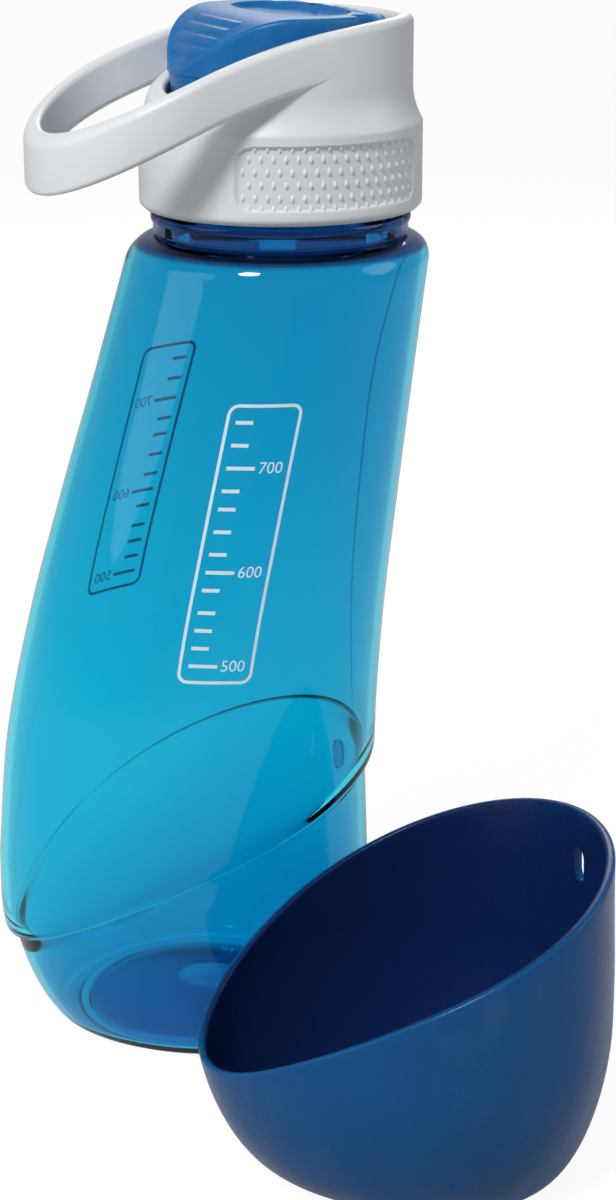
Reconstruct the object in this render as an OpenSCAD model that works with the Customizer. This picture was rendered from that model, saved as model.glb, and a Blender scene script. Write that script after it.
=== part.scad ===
// Dog travel water bottle: a leaning bottle, a snap-on bowl that nests over its foot, and a screw cap
// with a carry loop and a flip-up top. Millimetres, +Z up, the bottle's foot is centred on the origin.

/* [Body] */
// Largest half width of the body
body_r = 45.3; // [42:0.1:48]
// Half width of the foot
foot_r = 31; // [28:0.5:33]
// Height over which the body rounds in to its foot
foot_round = 34; // [28:1:40]
// Height of the widest part
widest_h = 45; // [40:1:50]
// Height of the shoulder, measured from the bowl's foot
shoulder_h = 190; // [175:1:205]
// Half width at the shoulder
shoulder_r = 34.3; // [33:0.1:36]
// Distance from the foot's axis to the neck's axis
neck_x = 20.8; // [14:0.1:24]
// Distance from the foot's axis to the widest part's centre, away from the neck
belly_x = 2.7; // [0:0.1:4]
// How much wider the tall side is than the lean side, as a share of the half width
egg = 0.14; // [0:0.01:0.18]
// Thickness of the bottle's wall
wall = 1.8; // [1.4:0.1:2.2]
// Height of the dome pressed into the bottle's base
base_dome = 7; // [4:0.5:9]

/* [Neck] */
// Root radius of the neck's thread
neck_r = 26.6; // [26:0.1:26.8]
// Thickness of the neck's wall
neck_wall = 2.2; // [2:0.1:3]
// How far the strip between the shoulder and the bead stands out from the thread's root
strip_out = 1.4; // [0.8:0.1:1.8]
// How far the bead under the cap stands out from the thread's root
bead_out = 3; // [2.2:0.1:3.4]
// Height of the neck above the shoulder
neck_h = 19; // [18:0.5:20]
// Pitch of the thread
pitch = 4; // [3.8:0.1:4.4]
// Height of the thread's ridge
ridge = 1.2; // [1:0.05:1.25]

/* [Bowl] */
// Thickness of the bowl's wall
bowl_wall = 2; // [1.6:0.1:2.4]
// Thickness of the bowl's floor
bowl_floor = 2.2; // [1.8:0.1:3]
// Clearance between the bowl and the bottle that nests in it
nest_gap = 0.3; // [0.2:0.05:0.5]
// Height of the bowl's rim over the foot's axis
seat_h = 54.7; // [50:0.1:58]
// Rise of the rim towards the tall side, per millimetre
seat_slope = 0.45; // [0.38:0.01:0.5]
// Direction in which the bowl stands beside the bottle
bowl_bearing = -69.4; // [-75:0.1:-60]
// Gap between the bowl and the bottle that it stands beside
bowl_apart = 0.5; // [0.3:0.1:8]
// Angle that the bowl is turned by as it stands
bowl_turn = -4; // [-8:1:4]
// Width of the snap slot
slot_w = 4.8; // [4.4:0.1:5.6]
// Height of the snap slot
slot_h = 8; // [7:0.1:9]

/* [Cap] */
// Thickness of the skirt, shell and core together
skirt_wall = 3.95; // [3.4:0.05:4.8]
// Share of that thickness that is the core
core_share = 0.4; // [0.3:0.05:0.5]
// Height of the skirt
skirt_h = 19.5; // [18:0.5:21]
// Gap between the neck's bead and the skirt
skirt_gap = 1; // [0.6:0.1:1.6]
// How far the collar steps in from the skirt
collar_in = 2.3; // [1.8:0.1:2.8]
// Thickness of the collar's wall and of the carry loop
collar_wall = 4.1; // [3.6:0.1:5]
// Thickness of the deck
deck_t = 2.8; // [2.2:0.1:3.2]
// Radius of the pour port
port_r = 6; // [5:0.1:6.6]
// Depth of the grip panels
grip_depth = 0.8; // [0.4:0.1:1]
// Angle that the cap is turned to on the neck
cap_turn_at = 12; // [8:0.5:20]

/* [Carry loop] */
// Distance from the cap's axis to the centre of the loop's round end
loop_reach = 30; // [28:0.1:34]
// Outer radius of the loop's round end
loop_end_r = 29.4; // [27:0.1:31]
// Height of the loop's band
loop_band_h = 11; // [9.5:0.1:12]
// Height of the loop's top edge over the deck at the cap's axis
loop_top = 23.5; // [22:0.1:25]
// Rise of the loop's top edge towards the hinge, per millimetre
loop_lean = 0.162; // [0.1:0.002:0.2]

/* [Flip top] */
// Height of the flip top over the deck
flip_h = 26; // [24.5:0.1:27]
// Gap between the flip top and the collar's bore
flip_gap = 0.4; // [0.3:0.05:0.6]
// Distance from the collar's bore to the hinge
hinge_in = 7.4; // [6.8:0.1:8]
// Radius of the knuckle round the hinge
knuckle_r = 4.4; // [3.8:0.1:4.6]
// Radius of the two trunnions
trunnion_r = 1.9; // [1.5:0.1:2.2]
// Clearance of the trunnions in their holes
trunnion_gap = 0.05; // [0.02:0.01:0.1]

/* [Hidden] */
$fn = 64;
SEG = 48;
EPS = 0.01;

// The body's outline runs in heights from the bowl's foot. These are the shares of the change from
// the widest part to the shoulder, at even steps of height.
TAPER = [0, 0.15, 0.345, 0.56, 0.79, 1];
LEAN = [0, 0.045, 0.215, 0.465, 0.735, 1];
// How square the rounding into the foot is
round_power = 1.7;
// Height above which the section turns from an egg to a circle
egg_from = 100;
nest_lift = bowl_floor + nest_gap;
nest_inset = bowl_wall + nest_gap;
// Second and third order of the seat's slope
seat_arch = 0.0018;
seat_curl = 0.00003;

function between(list, u) =
    let (n = len(list) - 1, x = min(max(u, 0), 1) * n, i = min(floor(x), n - 1), t = x - i,
         ma = (list[i + 1] - list[max(i - 1, 0)]) / (i == 0 ? 1 : 2),
         mb = (list[min(i + 2, n)] - list[i]) / (i == n - 1 ? 1 : 2))
    (2 * t^3 - 3 * t^2 + 1) * list[i] + (t^3 - 2 * t^2 + t) * ma
    + (3 * t^2 - 2 * t^3) * list[i + 1] + (t^3 - t^2) * mb;
function rise(z) = (z - widest_h) / (shoulder_h - widest_h);
function corner(z) =
    let (t = min(max(1 - z / foot_round, 0), 1)) 1 - (1 - t^round_power)^(1 / round_power);
function half_width(z) =
    body_r - (body_r - shoulder_r) * between(TAPER, rise(z)) - (body_r - foot_r) * corner(z);
function centre_x(z) = (belly_x + neck_x) * between(LEAN, rise(z)) - belly_x * (1 - corner(z));
function egg_at(z) = egg * min(max((shoulder_h - z) / (shoulder_h - egg_from), 0), 1);
function skin(z, a, inset) =
    let (r = half_width(z) - inset) [centre_x(z) + r * cos(a), r * sin(a) * (1 + egg_at(z) * cos(a))];
// How far the widest part reaches in direction a
function reach_at(a, inset) =
    max([for (i = [0:SEG - 1]) skin(widest_h, 360 * i / SEG, inset) * [cos(a), sin(a)]]);
function seat_at(x) = seat_h + seat_slope * x - seat_arch * x^2 + seat_curl * x^3;
function seat_z(a, z = seat_h, n = 8) =
    n == 0 ? z : seat_z(a, (z + seat_at(centre_x(z) + half_width(z) * cos(a))) / 2, n - 1);

// Radii of the neck and the cap, from the thread outwards
mouth_r = neck_r - neck_wall;
strip_r = neck_r + strip_out;
bead_r = neck_r + bead_out;
ridge_gap = 0.35;
core_bore = neck_r + ridge + ridge_gap;
core_r = core_bore + skirt_wall * core_share;
skirt_r = core_bore + skirt_wall;
collar_r = skirt_r - collar_in;
pocket_r = collar_r - collar_wall;

// Heights in the part
foot_h = 1.6;
foot_lift = 0.8;
body_top = shoulder_h - nest_lift - 4;
shoulder_round = 5.5;
shoulder_top = body_top + shoulder_round;
strip_h = 3.2;
bead_h = 2;
lip_z = shoulder_top + neck_h;
bead_z = shoulder_top + strip_h;
bead_top = bead_z + bead_h;
skirt_z = bead_top + skirt_gap;
thread_z = bead_top + 3;
thread_turns = 1.5;
gasket_h = 2;
gasket_gap = 0.1;
deck_z = lip_z + 2 * gasket_gap + gasket_h;
deck_top = deck_z + deck_t;

// A level circle of ring points
function circle_ring(x, r, z) =
    [for (i = [0:SEG - 1]) let (a = 360 * i / SEG) [x + r * cos(a), r * sin(a), z]];
// A ring at share t of the way from height z0 to the slanted seat
function low_ring(t, z0, inset, lift, drop) =
    [for (i = [0:SEG - 1])
        let (a = 360 * i / SEG, z = z0 + t * (seat_z(a) - lift - drop - z0), p = skin(z + lift, a, inset))
        [p.x, p.y, z]];
// A ring at share t of the way from the slanted seat to height z1
function high_ring(t, z1, inset, lift) =
    [for (i = [0:SEG - 1])
        let (a = 360 * i / SEG, z0 = seat_z(a) - lift, z = z0 + t * (z1 - z0), p = skin(z + lift, a, inset))
        [p.x, p.y, z]];

// Skins a closed solid over rings, from the middle of its base round to the middle of its floor
module skin_over(rings, first, last) {
    n = len(rings);
    points = concat([first], [for (r = rings) each r], [last]);
    end = len(points) - 1;
    faces = concat(
        [for (i = [0:SEG - 1]) [0, 1 + i, 1 + (i + 1) % SEG]],
        [for (j = [0:n - 2], i = [0:SEG - 1], k = [0, 1])
            let (a = 1 + j * SEG + i, b = 1 + j * SEG + (i + 1) % SEG, c = a + SEG, d = b + SEG)
            k == 0 ? [a, c, b] : [b, c, d]],
        [for (i = [0:SEG - 1]) [end, 1 + (n - 1) * SEG + (i + 1) % SEG, 1 + (n - 1) * SEG + i]]);
    polyhedron(points, faces);
}

// A tube made true with rotate_extrude, from radius r0 to r1 and height z0 to z1
module tube(r0, r1, z0, z1) {
    rotate_extrude()
        translate([r0, z0])
            square([r1 - r0, z1 - z0]);
}

// A helical ridge on radius r that stands out by h, or in where h is negative
module thread(r, h, z, turns) {
    steps = 28;
    n = ceil(turns * steps);
    root = 0.95;
    crest = 0.4;
    sink = h > 0 ? -0.5 : 0.5;
    function at(i, rr, dz) = let (a = 360 * i / steps) [rr * cos(a), rr * sin(a), z + pitch * i / steps + dz];
    function swell(i) = min(1, min(i, n - i) / 3 + 0.05);
    points = [for (i = [0:n]) let (w = swell(i), flip = h > 0 ? 1 : -1) each [
        at(i, r + sink, -root * flip), at(i, r + h * w, -crest * flip),
        at(i, r + h * w, crest * flip), at(i, r + sink, root * flip)]];
    sides = [for (i = [0:n - 1], k = [0:3], t = [0, 1])
        let (a = 4 * i + k, b = 4 * i + (k + 1) % 4) t == 0 ? [a, b, a + 4] : [b, b + 4, a + 4]];
    end = 4 * n;
    ends = [[0, 3, 2], [0, 2, 1], [end, end + 1, end + 2], [end, end + 2, end + 3]];
    polyhedron(points, concat(ends, sides));
}

// An upright oval, length l along X from x0, width w and height h
module oval(x0, l, w, h) {
    translate([x0, 0, 0])
        rotate([0, 90, 0])
            union() {
                for (s = [-1, 1])
                    translate([s * (h - w) / 2, 0, 0])
                        cylinder(r = w / 2, h = l);
                translate([-(h - w) / 2, -w / 2, 0])
                    cube([h - w, w, l]);
            }
}

// The foot ring that the bottle and the bowl both stand on
foot_out = foot_r - 1.2;
foot_in = foot_r - 4;
dome_r = foot_in - 1.5;
function dome_ring(s, z) = circle_ring(0, dome_r * s, z + base_dome * (1 - s^2));

// The shoulder's steps, inwards from its half width and up from the body's top
SHOULDER = [[0.9, 3], [2.9, 4.8]];
function shoulder_ring(k, inset) =
    circle_ring(neck_x, shoulder_r - SHOULDER[k].x - inset, body_top + SHOULDER[k].y - inset);

// Shares of the height at which the bottle has a ring, below and above the seat
bottle_low = [0, 0.04, 0.1, 0.2, 0.34, 0.54, 0.77, 1];
bottle_high = [0, 0.06, 0.13, 0.21, 0.3, 0.4, 0.5, 0.6, 0.7, 0.8, 0.9, 1];
inner_drop = 2;
neck_lap = 1;

module bottle_shell() {
    low_inner = nest_inset + wall;
    floor_z = foot_lift + wall;
    outer_rings = concat(
        [for (s = [0.35, 0.7, 1]) dome_ring(s, foot_lift)],
        [for (t = bottle_low) low_ring(t, foot_lift, nest_inset, nest_lift, 0)],
        [for (t = bottle_high) high_ring(t, body_top, 0, nest_lift)],
        [shoulder_ring(0, 0), shoulder_ring(1, 0), circle_ring(neck_x, strip_r + neck_lap, shoulder_top)]);
    inner_rings = concat(
        [for (z = [shoulder_top, shoulder_top - wall]) circle_ring(neck_x, mouth_r + neck_lap, z)],
        [shoulder_ring(1, wall), shoulder_ring(0, wall)],
        [for (k = [len(bottle_high) - 1:-1:1])
            high_ring(bottle_high[k], body_top - inner_drop, wall, nest_lift)],
        [low_ring(1, floor_z, wall, nest_lift, 0)],
        [for (k = [len(bottle_low) - 1:-1:0]) low_ring(bottle_low[k], floor_z, low_inner, nest_lift, wall)],
        [for (s = [1, 0.7, 0.35]) dome_ring(s, floor_z)]);
    skin_over(concat(outer_rings, inner_rings), [0, 0, foot_lift + base_dome], [0, 0, floor_z + base_dome]);
}

// The nub on the tall side, and the slot in the bowl that it snaps into
nub_at = 13;
nub_drop = 12.8;
slot_z = seat_z(nub_at) - nub_drop;
slot_gap = 0.35;
nub_l = wall / 2 + nest_inset - 0.2;
nub_skin = skin(slot_z, nub_at, 0) - [centre_x(slot_z), 0];
nub_from = norm(nub_skin) - nest_inset - wall / 2;

module at_nub(lift) {
    translate([centre_x(slot_z), 0, slot_z - lift])
        rotate([0, 0, atan2(nub_skin.y, nub_skin.x)])
            children();
}

module bottle_body() {
    color("steelblue", 0.6)
        union() {
            bottle_shell();
            tube(foot_in, foot_out, 0, foot_h);
            translate([neck_x, 0, 0]) {
                tube(mouth_r, strip_r, shoulder_top - wall / 2, bead_z);
                tube(mouth_r, bead_r, bead_z, bead_top);
                tube(mouth_r, neck_r, bead_top, lip_z);
                thread(neck_r, ridge, thread_z, thread_turns);
            }
            at_nub(nest_lift)
                oval(nub_from, nub_l, slot_w - 2 * slot_gap, slot_h - 2 * slot_gap);
        }
}

// Shares of the height at which the bowl has a ring below its rim
bowl_steps = [0, 0.03, 0.08, 0.16, 0.28, 0.45, 0.65, 0.85];
rim_round = 0.6;
bowl_reach = reach_at(bowl_bearing, nest_inset) + reach_at(bowl_bearing + 180 - bowl_turn, 0) + bowl_apart;
bowl_x = bowl_reach * cos(bowl_bearing);
bowl_y = bowl_reach * sin(bowl_bearing);

module bowl_skin() {
    rings = concat(
        [circle_ring(0, dome_r, foot_lift)],
        [for (t = bowl_steps) low_ring(t, foot_lift, 0, 0, nest_gap)],
        [low_ring(1, foot_lift, 0, 0, nest_gap + rim_round), low_ring(1, foot_lift, rim_round, 0, nest_gap),
         low_ring(1, foot_lift, bowl_wall - rim_round, 0, nest_gap),
         low_ring(1, foot_lift, bowl_wall, 0, nest_gap + rim_round)],
        [for (k = [len(bowl_steps) - 1:-1:0]) low_ring(bowl_steps[k], bowl_floor, bowl_wall, 0, nest_gap)]);
    skin_over(rings, [0, 0, foot_lift], [0, 0, bowl_floor]);
}

module bowl() {
    color("royalblue")
        translate([bowl_x, bowl_y, 0])
            rotate([0, 0, bowl_turn])
                difference() {
                    union() {
                        bowl_skin();
                        tube(foot_in, foot_out, 0, foot_h);
                    }
                    at_nub(0)
                        oval(nub_from - bowl_wall, 3 * bowl_wall, slot_w, slot_h);
                }
}

// The cap's core is pressed into the shell
core_gap = 0.1;
skirt_top = skirt_z + skirt_h;
skirt_edge = 1;
flare_h = 8;
flare_steps = 6;
// The collar's wall steps down to a low lobe at this distance from the axis, away from the hinge
lobe_x = -3.4;
lobe_up = 3.25;
loop_droop = 0.0039;
loop_deepen = 0.0004;
// How far above the loop the cutting shapes run
over = 20;
grip_w = 43;
grip_h = 13.6;
grip_corner = 3;
grip_up = 0.6;

module at_cap() {
    translate([neck_x, 0, 0])
        rotate([0, 0, cap_turn_at])
            children();
}
function loop_top_z(x) = deck_top + loop_top + loop_lean * x - loop_droop * x^2;
function loop_low_z(x) = loop_top_z(x) - loop_band_h - loop_deepen * x^2;

// A prism through the cap along Y over an outline in X and Z
module side_prism(points) {
    rotate([90, 0, 0])
        linear_extrude(height = 4 * collar_r, center = true)
            polygon(points);
}

// The loop's plan: straight flanks that leave a circle r0 at a tangent and meet a circle r1
module loop_plan(r0, r1) {
    nx = (r1 - r0) / loop_reach;
    ny = sqrt(1 - nx^2);
    tuck = 1.8;
    union() {
        translate([-loop_reach, 0, 0])
            cylinder(r = r1, h = deck_top + loop_top + over);
        linear_extrude(height = deck_top + loop_top + over)
            polygon([[0, r0 - tuck], [r0 * nx, r0 * ny], [r1 * nx - loop_reach, r1 * ny],
                [r1 * nx - loop_reach, -r1 * ny], [r0 * nx, -r0 * ny], [0, tuck - r0]]);
    }
}

module carry_loop() {
    near = 6;
    far = loop_reach + loop_end_r + 4;
    steps = 20;
    xs = [for (i = [0:steps]) near - (far + near) * i / steps];
    intersection() {
        difference() {
            loop_plan(collar_r, loop_end_r);
            loop_plan(pocket_r, loop_end_r - collar_wall);
        }
        side_prism(concat(
            [for (x = xs) [x, loop_top_z(x)]],
            [for (i = [steps:-1:0]) [xs[i], loop_low_z(xs[i])]]));
    }
}

// The skirt and the collar's wall, with the wall cut down to the loop's top edge and to the low lobe
module collar() {
    steps = 12;
    reach = skirt_r + 2;
    top = deck_top + loop_top + over;
    flare = [for (i = [1:flare_steps]) let (t = i / flare_steps)
        [collar_r + (skirt_r - collar_r) * (1 - t)^2, skirt_top + flare_h * t]];
    high = [for (i = [0:steps]) let (x = reach - (reach - lobe_x) * i / steps) [x, loop_top_z(x)]];
    low = [for (i = [0:steps]) let (x = lobe_x - (reach + lobe_x) * i / steps) [x, loop_low_z(x) + lobe_up]];
    intersection() {
        rotate_extrude()
            polygon(concat(
                [[0, skirt_z], [skirt_r - skirt_edge, skirt_z]],
                [[skirt_r, skirt_z + skirt_edge], [skirt_r, skirt_top]],
                flare,
                [[collar_r, top], [0, top]]));
        side_prism(concat([[reach, skirt_z - 1]], high, low, [[-reach, skirt_z - 1]]));
    }
}

// One recessed grip panel with round corners, on the side that dir names
module grip_panel(dir) {
    w = grip_w / 2 - grip_corner;
    h = grip_h / 2 - grip_corner;
    intersection() {
        tube(skirt_r - grip_depth, skirt_r + 2, skirt_z, skirt_top);
        translate([0, 0, skirt_z + skirt_h / 2 + grip_up])
            rotate([-90 * dir, 0, 0])
                union() {
                    for (x = [-w, w], z = [-h, h])
                        translate([x, z, skirt_r / 2])
                            cylinder(r = grip_corner, h = skirt_r);
                    translate([-w, -h - grip_corner, skirt_r / 2])
                        cube([2 * w, 2 * h + 2 * grip_corner, skirt_r]);
                    translate([-w - grip_corner, -h, skirt_r / 2])
                        cube([2 * w + 2 * grip_corner, 2 * h, skirt_r]);
                }
    }
}

module cap_shell() {
    color("gainsboro")
        at_cap()
            difference() {
                union() {
                    collar();
                    carry_loop();
                }
                translate([0, 0, skirt_z - 1])
                    cylinder(r = core_r + core_gap, h = deck_top + core_gap - skirt_z + 1);
                translate([0, 0, deck_top - 1])
                    cylinder(r = pocket_r, h = loop_top + over);
                translate([hinge_x, 0, hinge_z])
                    rotate([90, 0, 0])
                        cylinder(r = trunnion_r + trunnion_gap, h = 2 * trunnion_hole, center = true);
                grip_panel(1);
                grip_panel(-1);
            }
}

// The pour port with its raised rim, and the air vent with the small holes round it
rim_h = 3.2;
rim_wall = 2;
port_x = -4;
vent_x = 13;
vent_r = 1.2;
vent_gap = 0.05;
air_r = 0.6;
air_at = 2.6;

module cap_core() {
    color("whitesmoke")
        at_cap()
            difference() {
                union() {
                    tube(core_bore, core_r, skirt_z + 0.5, deck_z + EPS);
                    translate([0, 0, deck_z])
                        cylinder(r = core_r, h = deck_t);
                    translate([port_x, 0, deck_top - EPS])
                        cylinder(r = port_r + rim_wall, h = rim_h + EPS);
                    thread(core_bore, -ridge, thread_z - pitch / 2 + pitch * cap_turn_at / 360, thread_turns);
                }
                translate([port_x, 0, deck_z - 1])
                    cylinder(r = port_r, h = deck_t + rim_h + 2);
                translate([vent_x, 0, deck_z - 1])
                    cylinder(r = vent_r, h = deck_t + 2);
                for (a = [45:90:315])
                    translate([vent_x + air_at * cos(a), air_at * sin(a), deck_z - 1])
                        cylinder(r = air_r, h = deck_t + 2);
            }
}

gasket_z = lip_z + gasket_gap;
gasket_in = 0.2;
gasket_out = 0.4;

module cap_gasket() {
    color("dimgray")
        translate([neck_x, 0, 0])
            tube(mouth_r + gasket_in, core_bore - gasket_out, gasket_z, gasket_z + gasket_h);
}

// The flip top's heights, its hinge and its seal
flip_r = pocket_r - flip_gap;
flip_top_z = deck_top + flip_h;
flip_low = flip_top_z - 13.6;
hinge_x = pocket_r - hinge_in;
hinge_z = flip_top_z - knuckle_r - 0.8;
trunnion_in = 3.1;
trunnion_reach = sqrt(pocket_r^2 - hinge_x^2) + trunnion_in;
trunnion_hole = trunnion_reach + 0.2;
knuckle_w = flip_r * 0.395;
// The knuckle narrows to the trunnions over this length, towards this radius
knuckle_cone = 4.6;
knuckle_end_r = trunnion_r + 0.2;
pad_gap = 0.3;
pad_h = 2;
pad_z = deck_top + rim_h + pad_gap;
boss_r = port_r + 0.6;
// The hollow tail under the thumb end, and where it ends towards the hinge
tail_low = deck_top + 7.3;
tail_in = 0.9;
tail_wall = 2.4;
thumb_end = -8;
// The arched ramp for the thumb, and the ridges across it
ramp_r = flip_r * 0.72;
ramp_ridge_r = 0.9;
ramp_ridge_in = 0.25;
ramp_ridge_short = 2.2;
// The block is cut back beside the knuckle, and at its corners so that they clear the collar's wall
block_back = 5.1;
corner_back = flip_r * 0.4;
corner_y = flip_r * 0.78;
// The oval dish in the top
dish_x = 3.2;
dish_l = flip_r * 0.42;
dish_w = flip_r * 0.75;
dish_depth = 3.6;

function ramp_at(a, r) = [ramp_r - flip_r + r * cos(a), flip_top_z - ramp_r + r * sin(a)];

module flip_profile() {
    steps = 10;
    ramp = [for (i = [0:steps]) ramp_at(180 - 90 * i / steps, ramp_r)];
    side_prism(concat([[-flip_r, tail_low - 1]], ramp,
        [[hinge_x - block_back, flip_top_z], [hinge_x - 1.5, hinge_z + knuckle_r], [hinge_x, hinge_z],
         [hinge_x, flip_low], [thumb_end, flip_low], [thumb_end, tail_low - 1]]));
}

// Takes away the block on both sides beyond y, from x towards the hinge
module beside(x, y) {
    for (s = [0, 1])
        mirror([0, s, 0])
            translate([x, y, flip_low - 1])
                cube([flip_r, flip_r, flip_h]);
}

module flip_top() {
    color("dodgerblue")
        at_cap()
            difference() {
                union() {
                    difference() {
                        intersection() {
                            union() {
                                translate([0, 0, flip_low])
                                    cylinder(r = flip_r, h = flip_h);
                                translate([0, 0, tail_low])
                                    cylinder(r = flip_r - tail_in, h = flip_low - tail_low + 1);
                            }
                            flip_profile();
                        }
                        beside(hinge_x - block_back, knuckle_w);
                        beside(hinge_x - corner_back, corner_y);
                        translate([0, 0, tail_low - 1])
                            cylinder(r = flip_r - tail_in - tail_wall, h = flip_low - tail_low + 1);
                    }
                    for (a = [114:11:158]) {
                        p = ramp_at(a, ramp_r - ramp_ridge_in);
                        half = sqrt(flip_r^2 - p.x^2) - ramp_ridge_short;
                        translate([p.x, 0, p.y])
                            rotate([90, 0, 0])
                                cylinder(r = ramp_ridge_r, h = 2 * half, center = true);
                    }
                    translate([hinge_x, 0, hinge_z])
                        rotate([90, 0, 0]) {
                            cylinder(r = knuckle_r, h = 2 * knuckle_w, center = true);
                            for (s = [0, 1])
                                mirror([0, 0, s])
                                    translate([0, 0, knuckle_w])
                                        cylinder(r1 = knuckle_r, r2 = knuckle_end_r, h = knuckle_cone);
                            cylinder(r = trunnion_r, h = 2 * trunnion_reach, center = true);
                        }
                    translate([port_x, 0, pad_z + pad_h])
                        cylinder(r = boss_r, h = flip_low - pad_z - pad_h + 1);
                }
                translate([dish_x, 0, flip_top_z])
                    scale([dish_l, dish_w, dish_depth])
                        sphere(r = 1);
            }
}

module port_seal() {
    color("lightgray")
        at_cap()
            translate([port_x, 0, pad_z])
                cylinder(r = port_r + rim_wall, h = pad_h);
}

// The umbrella valve: a stem through the deck, a flap under it and a head over it
flap_r = 4;
flap_h = 1;
head_h = 1.2;
valve_gap = 0.3;

module vent_valve() {
    color("lightgray")
        at_cap()
            translate([vent_x, 0, 0]) {
                translate([0, 0, deck_z - valve_gap - flap_h / 2])
                    cylinder(r = vent_r - vent_gap, h = deck_t + 2 * valve_gap + flap_h);
                translate([0, 0, deck_z - valve_gap - flap_h])
                    cylinder(r = flap_r, h = flap_h);
                translate([0, 0, deck_top + valve_gap])
                    cylinder(r = vent_r + valve_gap + 0.1, h = head_h);
            }
}

bottle_body();
bowl();
cap_shell();
cap_core();
cap_gasket();
flip_top();
port_seal();
vent_valve();
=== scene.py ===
"""Dog travel water bottle: a leaning clear bottle, its nesting bowl, and a screw cap with a carry loop."""

import math
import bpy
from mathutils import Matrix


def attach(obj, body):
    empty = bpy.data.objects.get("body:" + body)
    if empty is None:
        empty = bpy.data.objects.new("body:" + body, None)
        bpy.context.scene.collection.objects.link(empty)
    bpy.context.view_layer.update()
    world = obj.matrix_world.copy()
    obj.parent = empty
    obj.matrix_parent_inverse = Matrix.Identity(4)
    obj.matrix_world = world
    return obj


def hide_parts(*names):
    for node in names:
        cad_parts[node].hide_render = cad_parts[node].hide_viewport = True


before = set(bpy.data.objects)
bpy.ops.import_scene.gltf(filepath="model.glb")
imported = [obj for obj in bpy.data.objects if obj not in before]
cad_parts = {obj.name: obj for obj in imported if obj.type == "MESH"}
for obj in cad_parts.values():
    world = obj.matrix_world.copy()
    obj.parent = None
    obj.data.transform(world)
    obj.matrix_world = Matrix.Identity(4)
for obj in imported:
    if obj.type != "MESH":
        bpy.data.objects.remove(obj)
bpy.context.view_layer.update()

from types import SimpleNamespace

import bmesh
import bpy
from bpy.props import FloatProperty, FloatVectorProperty, IntProperty, PointerProperty
from mathutils import Matrix, Vector

bl_info = {
    "name": "Dog travel water bottle",
    "version": (1, 0, 0),
    "blender": (4, 5, 0),
    "location": "View3D > Sidebar > Bottle",
    "description": "Makes the dressed bottle, bowl and cap over the packed frame",
    "category": "Add Mesh",
}

MM = 0.001
COLUMNS = 144
TURN = 2 * math.pi


# Sizes and colours


def length(name, about, size):
    """A length in millimetres, as a property in metres."""
    return FloatProperty(name=name, description=about, default=size * MM, unit="LENGTH", precision=5)


def share(name, about, value):
    return FloatProperty(name=name, description=about, default=value, precision=4)


def turned(name, about, degrees):
    return FloatProperty(name=name, description=about, default=math.radians(degrees), subtype="ANGLE")


def colour(name, about, rgb):
    return FloatVectorProperty(name=name, description=about, default=rgb, subtype="COLOR", min=0, max=1)


class BodySizes(bpy.types.PropertyGroup):
    """The leaning body that the bottle and the bowl share."""

    body_r: length("Half width", "Largest half width of the body", 45.3)
    foot_r: length("Foot", "Half width of the foot", 31)
    foot_round: length("Foot rounding", "Height over which the body rounds in to its foot", 34)
    widest_h: length("Widest", "Height of the widest part", 45)
    shoulder_h: length("Shoulder height", "Height of the shoulder", 190)
    shoulder_r: length("Shoulder", "Half width at the shoulder", 34.3)
    neck_x: length("Neck offset", "Distance from the foot's axis to the neck's axis", 20.8)
    belly_x: length("Belly offset", "Distance of the widest part's centre away from the neck", 2.7)
    egg: share("Egg", "How much wider the tall side is", 0.14)
    wall: length("Wall", "Thickness of the bottle's wall", 1.8)
    dome: length("Base dome", "Height of the dome in the bottle's base", 7)
    seat_h: length("Seat", "Height of the slanted seat over the foot's axis", 54.7)
    seat_slope: share("Seat slope", "Rise of the seat towards the tall side", 0.45)
    bowl_wall: length("Bowl wall", "Thickness of the bowl's wall", 2)
    bowl_floor: length("Bowl floor", "Thickness of the bowl's floor", 2.2)
    nest_gap: length("Nest gap", "Clearance between the bowl and the bottle in it", 0.3)
    bowl_x: length("Bowl X", "Where the bowl stands, towards the tall side", 31.2694)
    bowl_y: length("Bowl Y", "Where the bowl stands, towards the front", -83.1909)
    bowl_turn: turned("Bowl turn", "Angle that the bowl is turned by", -4)
    slot_w: length("Slot width", "Width of the snap slot", 4.8)
    slot_h: length("Slot height", "Height of the snap slot", 8)


class NeckSizes(bpy.types.PropertyGroup):
    """The bottle's neck."""

    mouth_r: length("Mouth", "Bore radius of the neck", 24.4)
    neck_r: length("Thread root", "Root radius of the thread", 26.6)
    strip_r: length("Strip", "Radius of the strip under the bead", 28)
    bead_r: length("Bead", "Radius of the bead under the cap", 29.6)
    strip_h: length("Strip height", "Height of the strip", 3.2)
    bead_h: length("Bead height", "Height of the bead", 2)
    neck_h: length("Neck height", "Height of the neck above the shoulder", 19)
    pitch: length("Pitch", "Pitch of the thread", 4)
    ridge: length("Ridge", "Height of the thread's ridge", 1.2)
    lugs: IntProperty(name="Lugs", description="How many lugs stand under the bead", default=7)
    lug_at: turned("Lug place", "Angle of the first lug", 24.3)


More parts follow.
